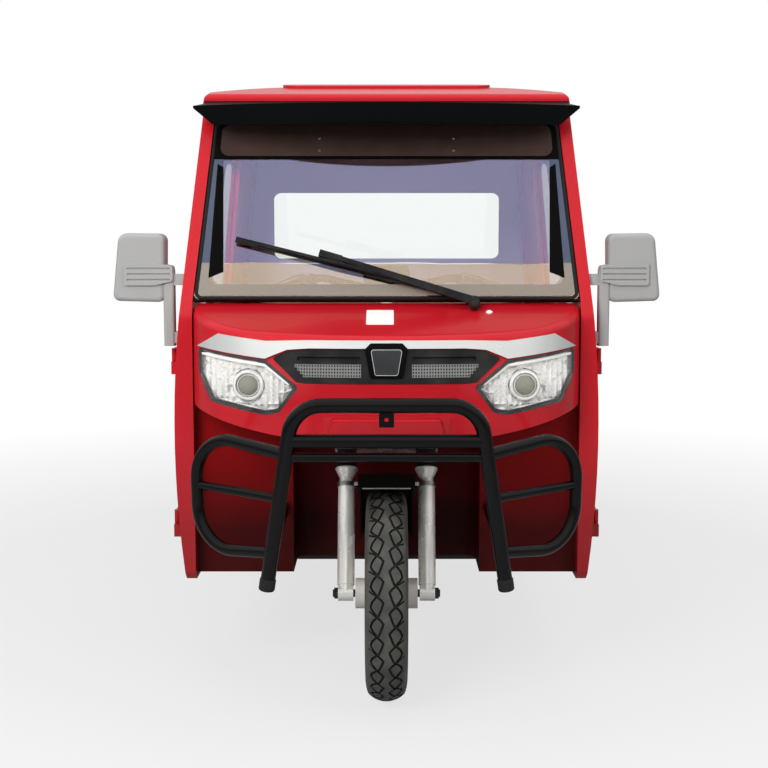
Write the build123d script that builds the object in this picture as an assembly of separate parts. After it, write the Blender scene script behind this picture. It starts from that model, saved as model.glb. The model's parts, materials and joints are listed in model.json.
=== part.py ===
from build123d import *
import math
import os

# Closed-cab electric tricycle with a dropside load bed, in millimetres.
# It faces -Y, +X is its left side, +Z is up, and the tyres stand on z = 0.
# "Aft" distances run backwards from the front axle.

# Layout
WHEELBASE = 2150.0
FRONT_OVERHANG = 348.0  # front axle to the bull bar's front face
REAR_OVERHANG = 813.0  # rear axle to the tailgate's hinge barrels
REAR_TRACK = 960.0
FRONT_AXLE_Y = (FRONT_OVERHANG - WHEELBASE - REAR_OVERHANG) / 2
REAR_AXLE_Y = FRONT_AXLE_Y + WHEELBASE

# Fits
SEAT_GAP = 0.3  # between pieces that sit on each other
RUN_GAP = 0.3  # radial, shaft in bush
PANEL_GAP = 0.5  # between fixed body panels

# Wheels
TYRE_R = 280.0
TYRE_HALF_WIDTH = 55.0
TREAD_HALF_WIDTH = 47.0
SHOULDER_DROP = 20.0  # tread edge below the crown
SHOULDER_R = TYRE_R - SHOULDER_DROP
BEAD_R = 152.5
BEAD_HALF_WIDTH = 38.0
FLANGE_R = 164.0
FLANGE_WIDTH = 4.0
RIM_WALL = 6.0
DISC_THICKNESS = 8.0
DISC_HOLE_R = 20.0
DISC_HOLE_COUNT = 6
DISC_HOLE_CIRCLE_R = 108.0
HUB_R = 40.0
DRUM_R = 82.0
DRUM_WIDTH = 46.0
AXLE_Z = TYRE_R

# Steering and front fork, in the steering axis's own frame
RAKE = 24.0
FORK_OFFSET = 45.0  # axle ahead of the steering axis
LEG_SPACING = 216.0
SLIDER_R = 23.0
SLIDER_BOTTOM = 22.0
GUARD_GAP = 32.0  # tyre to mudguard
GUARD_R = TYRE_R + GUARD_GAP
SLIDER_TOP = GUARD_R - 12.0
COLLAR_LENGTH = 40.0
COLLAR_TOP = SLIDER_TOP + COLLAR_LENGTH
COLLAR_R = 31.0
STANCHION_R = 22.0
STANCHION_SHOW = 55.0
CROWN_BOTTOM = COLLAR_TOP + STANCHION_SHOW
CROWN_THICKNESS = 35.0
CROWN_TOP = CROWN_BOTTOM + CROWN_THICKNESS
CROWN_HALF_WIDTH = 140.0
STEERER_R = 16.0
STEERER_LENGTH = 475.0  # above the crown
STEERER_TOP = CROWN_TOP + STEERER_LENGTH
HEADSTOCK_LENGTH = 130.0
HEADSTOCK_R = 29.0
LUG_R = 20.0
LUG_WIDTH = 40.0
FRONT_AXLE_R = 10.0
AXLE_NUT_R = 15.0
AXLE_NUT_LENGTH = 14.0
GUARD_WALL = 5.0
GUARD_HALF_WIDTH = 74.0
GUARD_SKIRT = 26.0
GUARD_FRONT_ANGLE = 17.0
GUARD_REAR_ANGLE = 72.0
BAR_TUBE_R = 11.0
GRIP_R = 16.0
GRIP_LENGTH = 120.0
BAR_HALF_WIDTH = 345.0

# Cab shell: outer side curve and flat inner side, as half-width against height
CAB_HALF = 571.5  # at the waist
SILL_OVER_AXLE = 5.0
SILL_Z = AXLE_Z + SILL_OVER_AXLE
WAIST_Z = SILL_Z + 415.0
BELT_Z = SILL_Z + 675.0
ROOF_JOINT_Z = SILL_Z + 1285.0
FOOT_TUCK = 28.5
BELT_TUCK = 12.5
ROOF_TUCK = 68.5
SIDE_DEPTH = 51.5
INNER_LEAN = 50.0
INNER_KNEE_Z = SILL_Z + 760.0
SIDE_FOOT_DROP = 20.0  # the side curve runs on below the sill by this much
SIDE_FOOT_Z = SILL_Z - SIDE_FOOT_DROP
HALF_AT_FOOT = CAB_HALF - FOOT_TUCK
HALF_AT_BELT = CAB_HALF - BELT_TUCK
HALF_AT_ROOF = CAB_HALF - ROOF_TUCK
INNER_HALF = CAB_HALF - SIDE_DEPTH
INNER_HALF_AT_ROOF = INNER_HALF - INNER_LEAN
CAB_FRONT = 110.0  # aft, front edge of the side frames below the windscreen
CAB_REAR = 1450.0
PILLAR_FOOT_Z = SILL_Z + 720.0
PILLAR_WIDTH = 95.0
QUARTER_WIDTH = 330.0  # side frame behind the door
SILL_HEIGHT = 60.0
WALL = 30.0
REAR_WINDOW_MARGIN = 110.0
REAR_WINDOW_Z = (SILL_Z + 837.0, SILL_Z + 1083.0)
REAR_WINDOW_R = 34.0

# Windscreen
SCREEN_TILT = 18.16
TILT_TAN = math.tan(math.radians(SCREEN_TILT))
SCREEN_BASE_AFT = CAB_FRONT + 20.0
SCREEN_BASE_Z = PILLAR_FOOT_Z + 45.0
SCREEN_TOP_Z = ROOF_JOINT_Z - 8.0
HEADER_HEIGHT = 125.0
SCREEN_HEADER_Z = SCREEN_TOP_Z - HEADER_HEIGHT
SCREEN_GLASS_TOP_Z = SCREEN_TOP_Z - 32.0
GLASS = 6.0
SCREEN_FRAME_DEPTH = 20.0
SCREEN_SIDE_BAND = 44.0
SCREEN_BOTTOM_BAND = 38.0
APERTURE_R = 32.0

# Doors
DOOR_TOP_Z = ROOF_JOINT_Z - 50.0
DOOR_REAR = CAB_REAR - QUARTER_WIDTH
DOOR_GAP = 8.0
DOOR_CORNER_R = 45.0
DOOR_RAIL = 62.0  # width of the door's frame around its window
WINDOW_SILL_Z = SILL_Z + 725.0
DOOR_GLASS = 5.0
DOOR_PRESSING = 4.0  # depth of the pressed panel
HINGE_R = 8.0
HINGE_PIN_R = 4.0
KNUCKLE = 34.0
HINGE_STANDOFF = 9.5
DOOR_HINGE_X = CAB_HALF + HINGE_STANDOFF
DOOR_HINGE_HEIGHTS = (SILL_Z + 145.0, SILL_Z + 595.0)
DOOR_HINGE_AFT = CAB_FRONT + PILLAR_WIDTH - DOOR_GAP / 2

# Nose
NOSE_FRONT = -132.0  # aft of its foremost line
NOSE_BACK = CAB_FRONT + 40.0
NOSE_HALF = INNER_HALF - 0.6
NOSE_WALL = 6.0
NOSE_SECTIONS = ((355.0, 38.0), (565.0, 0.0), (765.0, 60.0))  # height over the sill, set-back of the front
NOSE_CORNER_SHARE = 0.88  # corner radius over the nose's length
BONNET_REAR_Z = SCREEN_BASE_Z - 10.0
BONNET_EDGE_AFT = -100.0
BONNET_EDGE_Z = SILL_Z + 683.0
BONNET_EDGE_R = 22.0
NOSE_LOW_SIDE_Z = SILL_Z + 513.0
NOSE_LOW_MIDDLE_Z = SILL_Z + 405.0
LAMP_DEPTH_AFT = NOSE_BACK - 50.0  # aft, back of the lamp buckets
LAMP_WALL = 5.0
LENS_THICKNESS = 4.0
PROJECTOR_R = 33.0
PROJECTOR_INSET = 165.4  # from the nose's side
PROJECTOR_Z = SILL_Z + 557.0
PROJECTOR_X = NOSE_HALF - PROJECTOR_INSET
LID_HALF = 165.0
LID_Z = (SILL_Z + 424.0, SILL_Z + 484.0)
LID_RISE = 5.0

# Bulkhead and wheel recess
BULKHEAD_AFT = NOSE_BACK + 2.0
BULKHEAD_WALL = 12.0
BULKHEAD_BOTTOM = SILL_Z + 15.0
BULKHEAD_TOP = SILL_Z + 715.0
RECESS_HALF = 255.0
RECESS_GAP = 28.0  # mudguard to the recess's back
RECESS_BACK = GUARD_R + GUARD_WALL + RECESS_GAP
RECESS_OVER_SPINE = 112.0

# Roof and visor
ROOF_BROW = 33.0  # roof ahead of the pillars
ROOF_FRONT = CAB_FRONT + (ROOF_JOINT_Z - PILLAR_FOOT_Z) * TILT_TAN - ROOF_BROW
ROOF_REAR = CAB_REAR + 25.0
ROOF_EDGE_Z = ROOF_JOINT_Z + 42.0
ROOF_PEAK_Z = ROOF_JOINT_Z + 100.0
ROOF_RIDGE_AFT = ROOF_FRONT + 558.0
ROOF_WALL = 26.0
ROOF_PAD_RISE = 8.0
ROOF_EDGE_R = 16.0
VISOR_REACH = 150.0
VISOR_FRONT = ROOF_FRONT - VISOR_REACH
VISOR_HALF = HALF_AT_ROOF + 20.0
VISOR_BOW = 108.0  # how far the tips lie behind the middle of the front edge
VISOR_SHEET = 7.0
VISOR_LIP = 52.0
VISOR_LIP_TOP = ROOF_JOINT_Z
VISOR_LIP_BOTTOM = VISOR_LIP_TOP - VISOR_LIP
VISOR_RISE = 16.0  # where its rear edge meets the roof
VISOR_POINT = 18.0  # length of the pointed tips

# Bull bar
BAR_R = 18.0
LOOP_R = 15.0
BAR_FOOT_X = 292.0
BAR_CROWN_X = 222.0
BAR_BEND_R = 80.0
LOOP_X = 478.0
LOOP_AFT = -165.0
LOOP_BEND_R = 105.0
RUNG_R = 11.0

# Chassis
RAIL_X = 310.0
RAIL_WIDTH = 40.0
LOW_RAIL_HEIGHT = 40.0
HIGH_RAIL_HEIGHT = 50.0
LOW_RAIL = (SILL_Z, SILL_Z + LOW_RAIL_HEIGHT)
HIGH_RAIL = (2 * TYRE_R, 2 * TYRE_R + HIGH_RAIL_HEIGHT)  # level with the tops of the tyres
FLOOR = 18.0
SPINE_HALF = 25.0
SPINE_DEPTH = 55.0

# Load bed
CAB_BED_GAP = 40.0
BED_FRONT = CAB_REAR + CAB_BED_GAP
BED_HALF = 568.0
BED_FLOOR = 28.0
BEARER = 30.0
GATE_HEIGHT = 340.0
GATE_PANEL = 20.0
GATE_RIB = 8.0
GATE_CLEARANCE = 5.0
GATE_HINGE_DROP = 5.0
GATE_HINGE_OUT = 10.0  # hinge line beyond the gate's ribs
GATE_LIFT = 6.0  # gate's lower edge above the floor's underside
GATE_AXIS_OUT = GATE_PANEL + GATE_RIB + GATE_HINGE_OUT
BED_REAR = WHEELBASE + REAR_OVERHANG - HINGE_R - GATE_AXIS_OUT - GATE_CLEARANCE
BED_FLOOR_Z = HIGH_RAIL[1] + SEAT_GAP
BED_TOP_Z = BED_FLOOR_Z + BED_FLOOR


def aft(distance):
    """World Y of a distance behind the front axle."""
    return FRONT_AXLE_Y + distance


def outline(points, radius=0.0):
    """Closed face through points, with every corner rounded by the same radius or by a list of radii."""
    if radius == 0.0:
        return make_face(Polyline(*points, close=True))
    return make_face(FilletPolyline(*points, radius=radius, close=True))


def front_prism(face, aft_front, aft_back):
    """Face drawn in X and Z, pushed backwards between two aft distances."""
    return extrude(Plane.XZ.offset(-aft(aft_front)) * face, amount=aft_front - aft_back)


def side_prism(face, x_low, x_high):
    """Face drawn in aft and Z, pushed sideways between two X values."""
    return extrude(
        Plane((x_low, FRONT_AXLE_Y, 0), x_dir=(0, 1, 0), z_dir=(1, 0, 0)) * face, amount=x_high - x_low,
    )


def plan_prism(face, z_low, z_high):
    """Face drawn in X and aft, pushed upwards between two heights."""
    return extrude(Plane((0, FRONT_AXLE_Y, z_low)) * face, amount=z_high - z_low)


def block(x, a, z, radius=0.0):
    """Box from (low, high) pairs in X, aft and Z, with its upright edges rounded."""
    corners = [(x[0], a[0]), (x[1], a[0]), (x[1], a[1]), (x[0], a[1])]
    return plan_prism(outline(corners, radius), z[0], z[1])


def rod(start, end, radius):
    """Round bar between two points given as X, aft and Z."""
    a = Vector(start[0], aft(start[1]), start[2])
    b = Vector(end[0], aft(end[1]), end[2])
    return extrude(Plane(a, z_dir=b - a) * Circle(radius), amount=(b - a).length)


def bent_tube(points, radii, radius):
    """Round tube along straight runs and tangent bends, with points given as X, aft and Z."""
    path = FilletPolyline(*[(x, aft(a), z) for x, a, z in points], radius=radii)
    return sweep(Plane(path @ 0, z_dir=path % 0) * Circle(radius), path=path)


def both(piece):
    """A left-side piece and its mirror image."""
    return Compound(children=[piece, mirror(piece, about=Plane.YZ)])


def union(pieces):
    """One fused solid out of overlapping pieces."""
    first, *rest = pieces
    return first.fuse(*rest).clean() if rest else first


def save(name, shape):
    """Writes one sub-part."""
    export_step(shape, f"parts/{name}.step")


# Wheels


def tyre():
    """Round-shouldered tyre about the X axis."""
    bead_top = FLANGE_R + 5.0
    bulge_r = (SHOULDER_R + bead_top) / 2
    lines = [
        Line((-BEAD_HALF_WIDTH, BEAD_R), (BEAD_HALF_WIDTH, BEAD_R)),
        Line((BEAD_HALF_WIDTH, BEAD_R), (BEAD_HALF_WIDTH, bead_top)),
        ThreePointArc(
            (BEAD_HALF_WIDTH, bead_top), (TYRE_HALF_WIDTH, bulge_r), (TREAD_HALF_WIDTH, SHOULDER_R),
        ),
        ThreePointArc((TREAD_HALF_WIDTH, SHOULDER_R), (0, TYRE_R), (-TREAD_HALF_WIDTH, SHOULDER_R)),
        ThreePointArc(
            (-TREAD_HALF_WIDTH, SHOULDER_R), (-TYRE_HALF_WIDTH, bulge_r), (-BEAD_HALF_WIDTH, bead_top),
        ),
        Line((-BEAD_HALF_WIDTH, bead_top), (-BEAD_HALF_WIDTH, BEAD_R)),
    ]
    return revolve(make_face(Curve() + lines), axis=Axis.X)


def rim(hub_half_length, bore_r):
    """Pressed steel wheel about the X axis: barrel, dished disc with holes, hub, drum on the -X side."""
    seat_r = BEAD_R - SEAT_GAP
    flange_in = BEAD_HALF_WIDTH + 1.0
    flange_out = flange_in + FLANGE_WIDTH
    barrel = [
        (-flange_out, FLANGE_R),
        (-flange_in, FLANGE_R),
        (-flange_in, seat_r),
        (flange_in, seat_r),
        (flange_in, FLANGE_R),
        (flange_out, FLANGE_R),
        (flange_out, seat_r - RIM_WALL),
        (-flange_out, seat_r - RIM_WALL),
    ]
    dish = 14.0
    disc = [
        (dish, HUB_R - 5.0),
        (dish, HUB_R + 22.0),
        (0, seat_r - RIM_WALL - 18.0),
        (0, seat_r - 1.0),
        (DISC_THICKNESS, seat_r - 1.0),
        (DISC_THICKNESS, seat_r - RIM_WALL - 14.0),
        (dish + DISC_THICKNESS, HUB_R + 26.0),
        (dish + DISC_THICKNESS, HUB_R - 5.0),
    ]
    drum = [
        (-DRUM_WIDTH, HUB_R - 5.0),
        (-DRUM_WIDTH, DRUM_R),
        (dish, DRUM_R - 12.0),
        (dish, HUB_R - 5.0),
    ]
    wheel = revolve(outline(barrel), axis=Axis.X)
    wheel += revolve(outline(disc), axis=Axis.X)
    wheel += revolve(outline(drum), axis=Axis.X)
    hub = Plane((-hub_half_length, 0, 0), z_dir=(1, 0, 0))
    wheel += extrude(hub * Circle(HUB_R), amount=2 * hub_half_length)
    hole_plane = Plane((0, 0, 0), z_dir=(1, 0, 0))
    for turn in range(DISC_HOLE_COUNT):
        angle = math.radians(360.0 * turn / DISC_HOLE_COUNT)
        spot = (DISC_HOLE_CIRCLE_R * math.cos(angle), DISC_HOLE_CIRCLE_R * math.sin(angle))
        wheel -= extrude(hole_plane * Pos(*spot) * Circle(DISC_HOLE_R), amount=2 * HUB_R, both=True)
    return wheel - extrude(hub * Circle(bore_r), amount=2 * hub_half_length)


# Steering assembly


RAKE_RAD = math.radians(RAKE)
STEER_FOOT = (0, aft(FORK_OFFSET * math.cos(RAKE_RAD)), AXLE_Z - FORK_OFFSET * math.sin(RAKE_RAD))
STEER = Plane(STEER_FOOT, x_dir=(1, 0, 0), z_dir=(0, math.sin(RAKE_RAD), math.cos(RAKE_RAD)))
LEG_X = LEG_SPACING / 2
HUB_HALF = LEG_X - LUG_WIDTH / 2 - 6.0
HEADSTOCK_BOTTOM = CROWN_TOP + 0.4
HEADSTOCK_TOP = HEADSTOCK_BOTTOM + HEADSTOCK_LENGTH


def steer_rod(x, y, z_low, z_high, radius):
    """Round bar parallel to the steering axis."""
    return STEER * Pos(x, y, z_low) * extrude(Circle(radius), amount=z_high - z_low)


def fork():
    """Telescopic fork: sliders with axle lugs, dust collars, stanchions, crown, steerer and lock collar."""
    pieces = [
        STEER * Pos(0, -FORK_OFFSET / 2, CROWN_BOTTOM) * extrude(
            RectangleRounded(2 * CROWN_HALF_WIDTH, FORK_OFFSET + 2 * HEADSTOCK_R, HEADSTOCK_R - 1.0),
            amount=CROWN_TOP - CROWN_BOTTOM,
        ),
        steer_rod(0, 0, CROWN_BOTTOM, STEERER_TOP, STEERER_R),
        steer_rod(0, 0, HEADSTOCK_TOP + 0.4, HEADSTOCK_TOP + 14.0, HEADSTOCK_R - 3.0),
    ]
    for x in (-LEG_X, LEG_X):
        collar = [
            (0, SLIDER_TOP - 1.0),
            (SLIDER_R - 4.0, SLIDER_TOP - 1.0),
            (SLIDER_R - 4.0, SLIDER_TOP + 12.0),
            (COLLAR_R, COLLAR_TOP - 4.0),
            (COLLAR_R, COLLAR_TOP),
            (0, COLLAR_TOP),
        ]
        pieces += [
            steer_rod(x, -FORK_OFFSET, SLIDER_BOTTOM, SLIDER_TOP, SLIDER_R),
            steer_rod(x, -FORK_OFFSET, COLLAR_TOP - 1.0, CROWN_BOTTOM + 10.0, STANCHION_R),
            STEER * Pos(x, -FORK_OFFSET, 0) * revolve(Plane.XZ * outline(collar), axis=Axis.Z),
            STEER * Pos(x, -FORK_OFFSET, 0) * extrude(
                Plane((-LUG_WIDTH / 2, 0, 0), z_dir=(1, 0, 0)) * Circle(LUG_R), amount=LUG_WIDTH
            ),
            steer_rod(x, -FORK_OFFSET, 0, SLIDER_BOTTOM + 1.0, LUG_R),
        ]
    bore = rod((-CROWN_HALF_WIDTH, 0, AXLE_Z), (CROWN_HALF_WIDTH, 0, AXLE_Z), FRONT_AXLE_R + 0.1)
    return union(pieces) - bore


def front_axle():
    """Spindle clamped in the fork lugs, with a nut at each end."""
    reach = LEG_X + LUG_WIDTH / 2
    spindle = rod(
        (-reach - AXLE_NUT_LENGTH, 0, AXLE_Z), (reach + AXLE_NUT_LENGTH, 0, AXLE_Z), FRONT_AXLE_R,
    )
    pieces = [spindle]
    for side in (-1, 1):
        nut = RegularPolygon(AXLE_NUT_R, 6)
        seat = Plane((side * (reach + SEAT_GAP), FRONT_AXLE_Y, AXLE_Z), z_dir=(side, 0, 0))
        pieces.append(extrude(seat * nut, amount=AXLE_NUT_LENGTH - 4.0))
    return union(pieces)


def front_mudguard():
    """Channel-section mudguard over the tyre, with a stay to each slider."""
    outer_r = GUARD_R + GUARD_WALL
    section = [
        (-GUARD_HALF_WIDTH, GUARD_R - GUARD_SKIRT),
        (-GUARD_HALF_WIDTH + GUARD_WALL, GUARD_R - GUARD_SKIRT),
        (-GUARD_HALF_WIDTH + GUARD_WALL, GUARD_R),
        (GUARD_HALF_WIDTH - GUARD_WALL, GUARD_R),
        (GUARD_HALF_WIDTH - GUARD_WALL, GUARD_R - GUARD_SKIRT),
        (GUARD_HALF_WIDTH, GUARD_R - GUARD_SKIRT),
        (GUARD_HALF_WIDTH, outer_r),
        (-GUARD_HALF_WIDTH, outer_r),
    ]
    # Drawn in X and Z above the axle, turned from the front edge to the rear edge.
    sweep_angle = GUARD_FRONT_ANGLE + GUARD_REAR_ANGLE
    start = Rot(GUARD_FRONT_ANGLE, 0, 0) * (Plane.XZ * outline(section))
    guard = Pos(0, FRONT_AXLE_Y, AXLE_Z) * revolve(
        start, axis=Axis((0, 0, 0), (-1, 0, 0)), revolution_arc=sweep_angle,
    )
    stay_z = GUARD_R - GUARD_SKIRT + 2.0
    for side in (-1, 1):
        inner, reach = GUARD_HALF_WIDTH - 1.0, LEG_X - SLIDER_R - SEAT_GAP
        stay = extrude(Rectangle(reach - inner, 18.0), amount=12.0)
        guard += STEER * Pos(side * (inner + reach) / 2, -FORK_OFFSET, stay_z) * stay
    return guard


def handlebar():
    """Swept-back bar on a clamp around the steerer, with grips."""
    rise = STEERER_TOP - 18.0
    half = [(70.0, 0.0, 0.0), (190.0, -10.0, 25.0), (BAR_HALF_WIDTH, 85.0, 10.0)]
    points = [(-x, y, z) for x, y, z in reversed(half)] + half
    path = FilletPolyline(*points, radius=60.0)
    bar = sweep(Plane(path @ 0, z_dir=path % 0) * Circle(BAR_TUBE_R), path=path)
    for end, inward in ((path @ 0, path % 0), (path @ 1, -(path % 1))):
        grip = extrude(Plane(end, z_dir=inward) * Circle(GRIP_R), amount=GRIP_LENGTH)
        bar += grip
    clamp = Pos(0, 0, 0) * Box(90.0, 56.0, 34.0)
    placed = STEER * Pos(0, 0, rise) * (bar + clamp)
    return placed - steer_rod(0, 0, 0, STEERER_TOP + 40.0, STEERER_R + 0.1)


# Cab shell


def side_curve(inner=False):
    """Half-width line of the cab side, from the sill up to the roof joint, in X and Z."""
    if inner:
        return [
            Line((INNER_HALF, SIDE_FOOT_Z), (INNER_HALF, INNER_KNEE_Z)),
            Line((INNER_HALF, INNER_KNEE_Z), (INNER_HALF_AT_ROOF, ROOF_JOINT_Z)),
        ]
    return [
        ThreePointArc((HALF_AT_FOOT, SIDE_FOOT_Z), (CAB_HALF, WAIST_Z), (HALF_AT_BELT, BELT_Z)),
        Line((HALF_AT_BELT, BELT_Z), (HALF_AT_ROOF, ROOF_JOINT_Z)),
    ]


def inner_half(z):
    """Half-width of the cab's inside at a height."""
    if z <= INNER_KNEE_Z:
        return INNER_HALF
    share = (z - INNER_KNEE_Z) / (ROOF_JOINT_Z - INNER_KNEE_Z)
    return INNER_HALF + share * (INNER_HALF_AT_ROOF - INNER_HALF)


def side_wall():
    """Left cab side before the door is cut out of it: curved outside, flat inside."""
    # The section runs past the outline on all sides, so that the outline alone trims it.
    spare = SIDE_FOOT_DROP
    ends = [
        Line((INNER_HALF, SIDE_FOOT_Z), (HALF_AT_FOOT, SIDE_FOOT_Z)),
        Line((INNER_HALF_AT_ROOF, ROOF_JOINT_Z), (HALF_AT_ROOF, ROOF_JOINT_Z)),
    ]
    section = make_face(Curve() + side_curve() + side_curve(inner=True) + ends)
    wall = front_prism(section, CAB_FRONT - spare, CAB_REAR + spare)
    lean = (ROOF_JOINT_Z - PILLAR_FOOT_Z) * TILT_TAN
    shape = [
        (CAB_FRONT, SILL_Z),
        (CAB_FRONT, PILLAR_FOOT_Z),
        (CAB_FRONT + lean, ROOF_JOINT_Z - SEAT_GAP),
        (CAB_REAR, ROOF_JOINT_Z - SEAT_GAP),
        (CAB_REAR, SILL_Z),
    ]
    return wall & side_prism(outline(shape, [30.0, 60.0, 0.0, 0.0, 30.0]), 0, DOOR_HINGE_X)


def door_shape(shrink):
    """Door outline in aft and Z, shrunk evenly from the opening in the side frame."""
    front = CAB_FRONT + PILLAR_WIDTH
    knee = PILLAR_FOOT_Z - 6.0
    lean = (DOOR_TOP_Z - knee) * TILT_TAN
    slope_shift = shrink / math.cos(math.radians(SCREEN_TILT))
    knee_front = front + shrink
    top_z = DOOR_TOP_Z - shrink
    top_front = front + slope_shift + (top_z - knee) * TILT_TAN
    knee_z = knee + (knee_front - front - slope_shift) / TILT_TAN if shrink else knee
    return [
        (knee_front, SILL_Z + SILL_HEIGHT + shrink),
        (knee_front, knee_z),
        (top_front if shrink else front + lean, top_z),
        (DOOR_REAR - shrink, top_z),
        (DOOR_REAR - shrink, SILL_Z + SILL_HEIGHT + shrink),
    ]


def window_shape(shrink):
    """Window outline inside the door, in aft and Z."""
    front = CAB_FRONT + PILLAR_WIDTH + DOOR_GAP + DOOR_RAIL + shrink
    low, high = WINDOW_SILL_Z + shrink, DOOR_TOP_Z - DOOR_GAP - DOOR_RAIL - shrink
    lean_low = (low - PILLAR_FOOT_Z) * TILT_TAN
    lean_high = (high - PILLAR_FOOT_Z) * TILT_TAN
    rear = DOOR_REAR - DOOR_GAP - DOOR_RAIL - shrink
    return [(front + lean_low, low), (front + lean_high, high), (rear, high), (rear, low)]


def door_hinges():
    """Frame-side knuckles with pins, and door-side knuckles, on one upright axis."""
    frame_parts, door_parts = [], []
    for z in DOOR_HINGE_HEIGHTS:
        at = (DOOR_HINGE_X, DOOR_HINGE_AFT)
        leaf_x = (INNER_HALF + 10.0, DOOR_HINGE_X)
        frame_parts += [
            rod((*at, z - KNUCKLE), (*at, z), HINGE_R),
            rod((*at, z), (*at, z + KNUCKLE), HINGE_PIN_R),
            block(leaf_x, (DOOR_HINGE_AFT - 40.0, DOOR_HINGE_AFT - DOOR_GAP / 2), (z - KNUCKLE, z)),
            block(
                (DOOR_HINGE_X - 4.0, DOOR_HINGE_X + 4.0),
                (DOOR_HINGE_AFT - 40.0, DOOR_HINGE_AFT),
                (z - KNUCKLE, z),
            ),
        ]
        barrel = rod((*at, z + SEAT_GAP), (*at, z + KNUCKLE), HINGE_R)
        leaf = block(
            (DOOR_HINGE_X - 4.0, DOOR_HINGE_X + 4.0),
            (DOOR_HINGE_AFT, DOOR_HINGE_AFT + 40.0),
            (z + SEAT_GAP, z + KNUCKLE),
        )
        foot = block(
            leaf_x, (DOOR_HINGE_AFT + DOOR_GAP / 2, DOOR_HINGE_AFT + 40.0), (z + SEAT_GAP, z + KNUCKLE),
        )
        bore = rod((*at, z), (*at, z + KNUCKLE + 1.0), HINGE_PIN_R + RUN_GAP)
        door_parts += [piece - bore for piece in (barrel, leaf, foot)]
    return frame_parts, door_parts


def side_and_door():
    """Left side frame, left door and the door's glass."""
    wall = side_wall()
    frame_hinges, door_hinges_ = door_hinges()
    span = (0.0, DOOR_HINGE_X + 20.0)
    frame = wall - side_prism(outline(door_shape(0.0), DOOR_CORNER_R), *span)
    door = wall & side_prism(outline(door_shape(DOOR_GAP), DOOR_CORNER_R - DOOR_GAP), *span)
    window = side_prism(outline(window_shape(0.0), DOOR_CORNER_R), *span)
    pane = side_prism(outline(window_shape(SEAT_GAP), DOOR_CORNER_R - SEAT_GAP), *span)
    # The pane stands half-way through the leaning part of the door.
    middle = make_face(
        Polyline(
            (inner_half(WINDOW_SILL_Z) + 14.0, WINDOW_SILL_Z),
            (inner_half(DOOR_TOP_Z) + 14.0, DOOR_TOP_Z),
            (inner_half(DOOR_TOP_Z) + 14.0 + DOOR_GLASS, DOOR_TOP_Z),
            (inner_half(WINDOW_SILL_Z) + 14.0 + DOOR_GLASS, WINDOW_SILL_Z),
            close=True,
        )
    )
    glass = pane & front_prism(middle, CAB_FRONT, CAB_REAR)
    front, rear = CAB_FRONT + PILLAR_WIDTH + 95.0, DOOR_REAR - 90.0
    low, high = SILL_Z + SILL_HEIGHT + 85.0, BELT_Z - 120.0
    pressing = side_prism(
        outline([(front, low), (front, high), (rear, high), (rear, low)], 40.0), *span,
    )
    sunk = (pressing & wall) - Pos(-DOOR_PRESSING, 0, 0) * wall
    pull_low, pull_high = BELT_Z - 88.0, BELT_Z - 60.0
    pull = [
        (rear - 50.0, pull_low),
        (rear + 45.0, pull_low),
        (rear + 45.0, pull_high),
        (rear - 50.0, pull_high),
    ]
    handle = side_prism(outline(pull, 12.0), INNER_HALF + 20.0, CAB_HALF + 7.0)
    door = union([door - window - sunk, handle, *door_hinges_])
    return union([frame, *frame_hinges]), door, glass


def screen_plane(depth):
    """Plane of the windscreen, its origin at the base on the centre line, pushed inwards by a depth."""
    tilt = math.radians(SCREEN_TILT)
    normal = Vector(0, -math.cos(tilt), math.sin(tilt))
    return Plane(
        Vector(0, aft(SCREEN_BASE_AFT), SCREEN_BASE_Z) - normal * depth, x_dir=(1, 0, 0), z_dir=normal,
    )


def up_screen(z):
    """Distance up the windscreen's slope to a height."""
    return (z - SCREEN_BASE_Z) / math.cos(math.radians(SCREEN_TILT))


def screen_band(z_low, z_high, inset, radius=0.0):
    """Face across the windscreen between two heights, inset from the side frames."""
    low, high = inner_half(z_low) - inset, inner_half(z_high) - inset
    points = [
        (-low, up_screen(z_low)),
        (low, up_screen(z_low)),
        (high, up_screen(z_high)),
        (-high, up_screen(z_high)),
    ]
    return outline(points, radius)


def windscreen():
    """Frame with its deep header, and the pane bonded on its face."""
    pane = screen_plane(GLASS) * screen_band(SCREEN_BASE_Z + 2.0, SCREEN_GLASS_TOP_Z, 2.0, 14.0)
    frame = screen_plane(GLASS + SEAT_GAP + SCREEN_FRAME_DEPTH) * screen_band(
        SCREEN_BASE_Z, SCREEN_TOP_Z, PANEL_GAP,
    )
    aperture_low = SCREEN_BASE_Z + SCREEN_BOTTOM_BAND
    hole = screen_plane(GLASS + SCREEN_FRAME_DEPTH + 20.0) * screen_band(
        aperture_low, SCREEN_HEADER_Z, SCREEN_SIDE_BAND, APERTURE_R
    )
    solid = extrude(frame, amount=SCREEN_FRAME_DEPTH) - extrude(hole, amount=SCREEN_FRAME_DEPTH + 40.0)
    return solid, extrude(pane, amount=GLASS)


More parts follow.
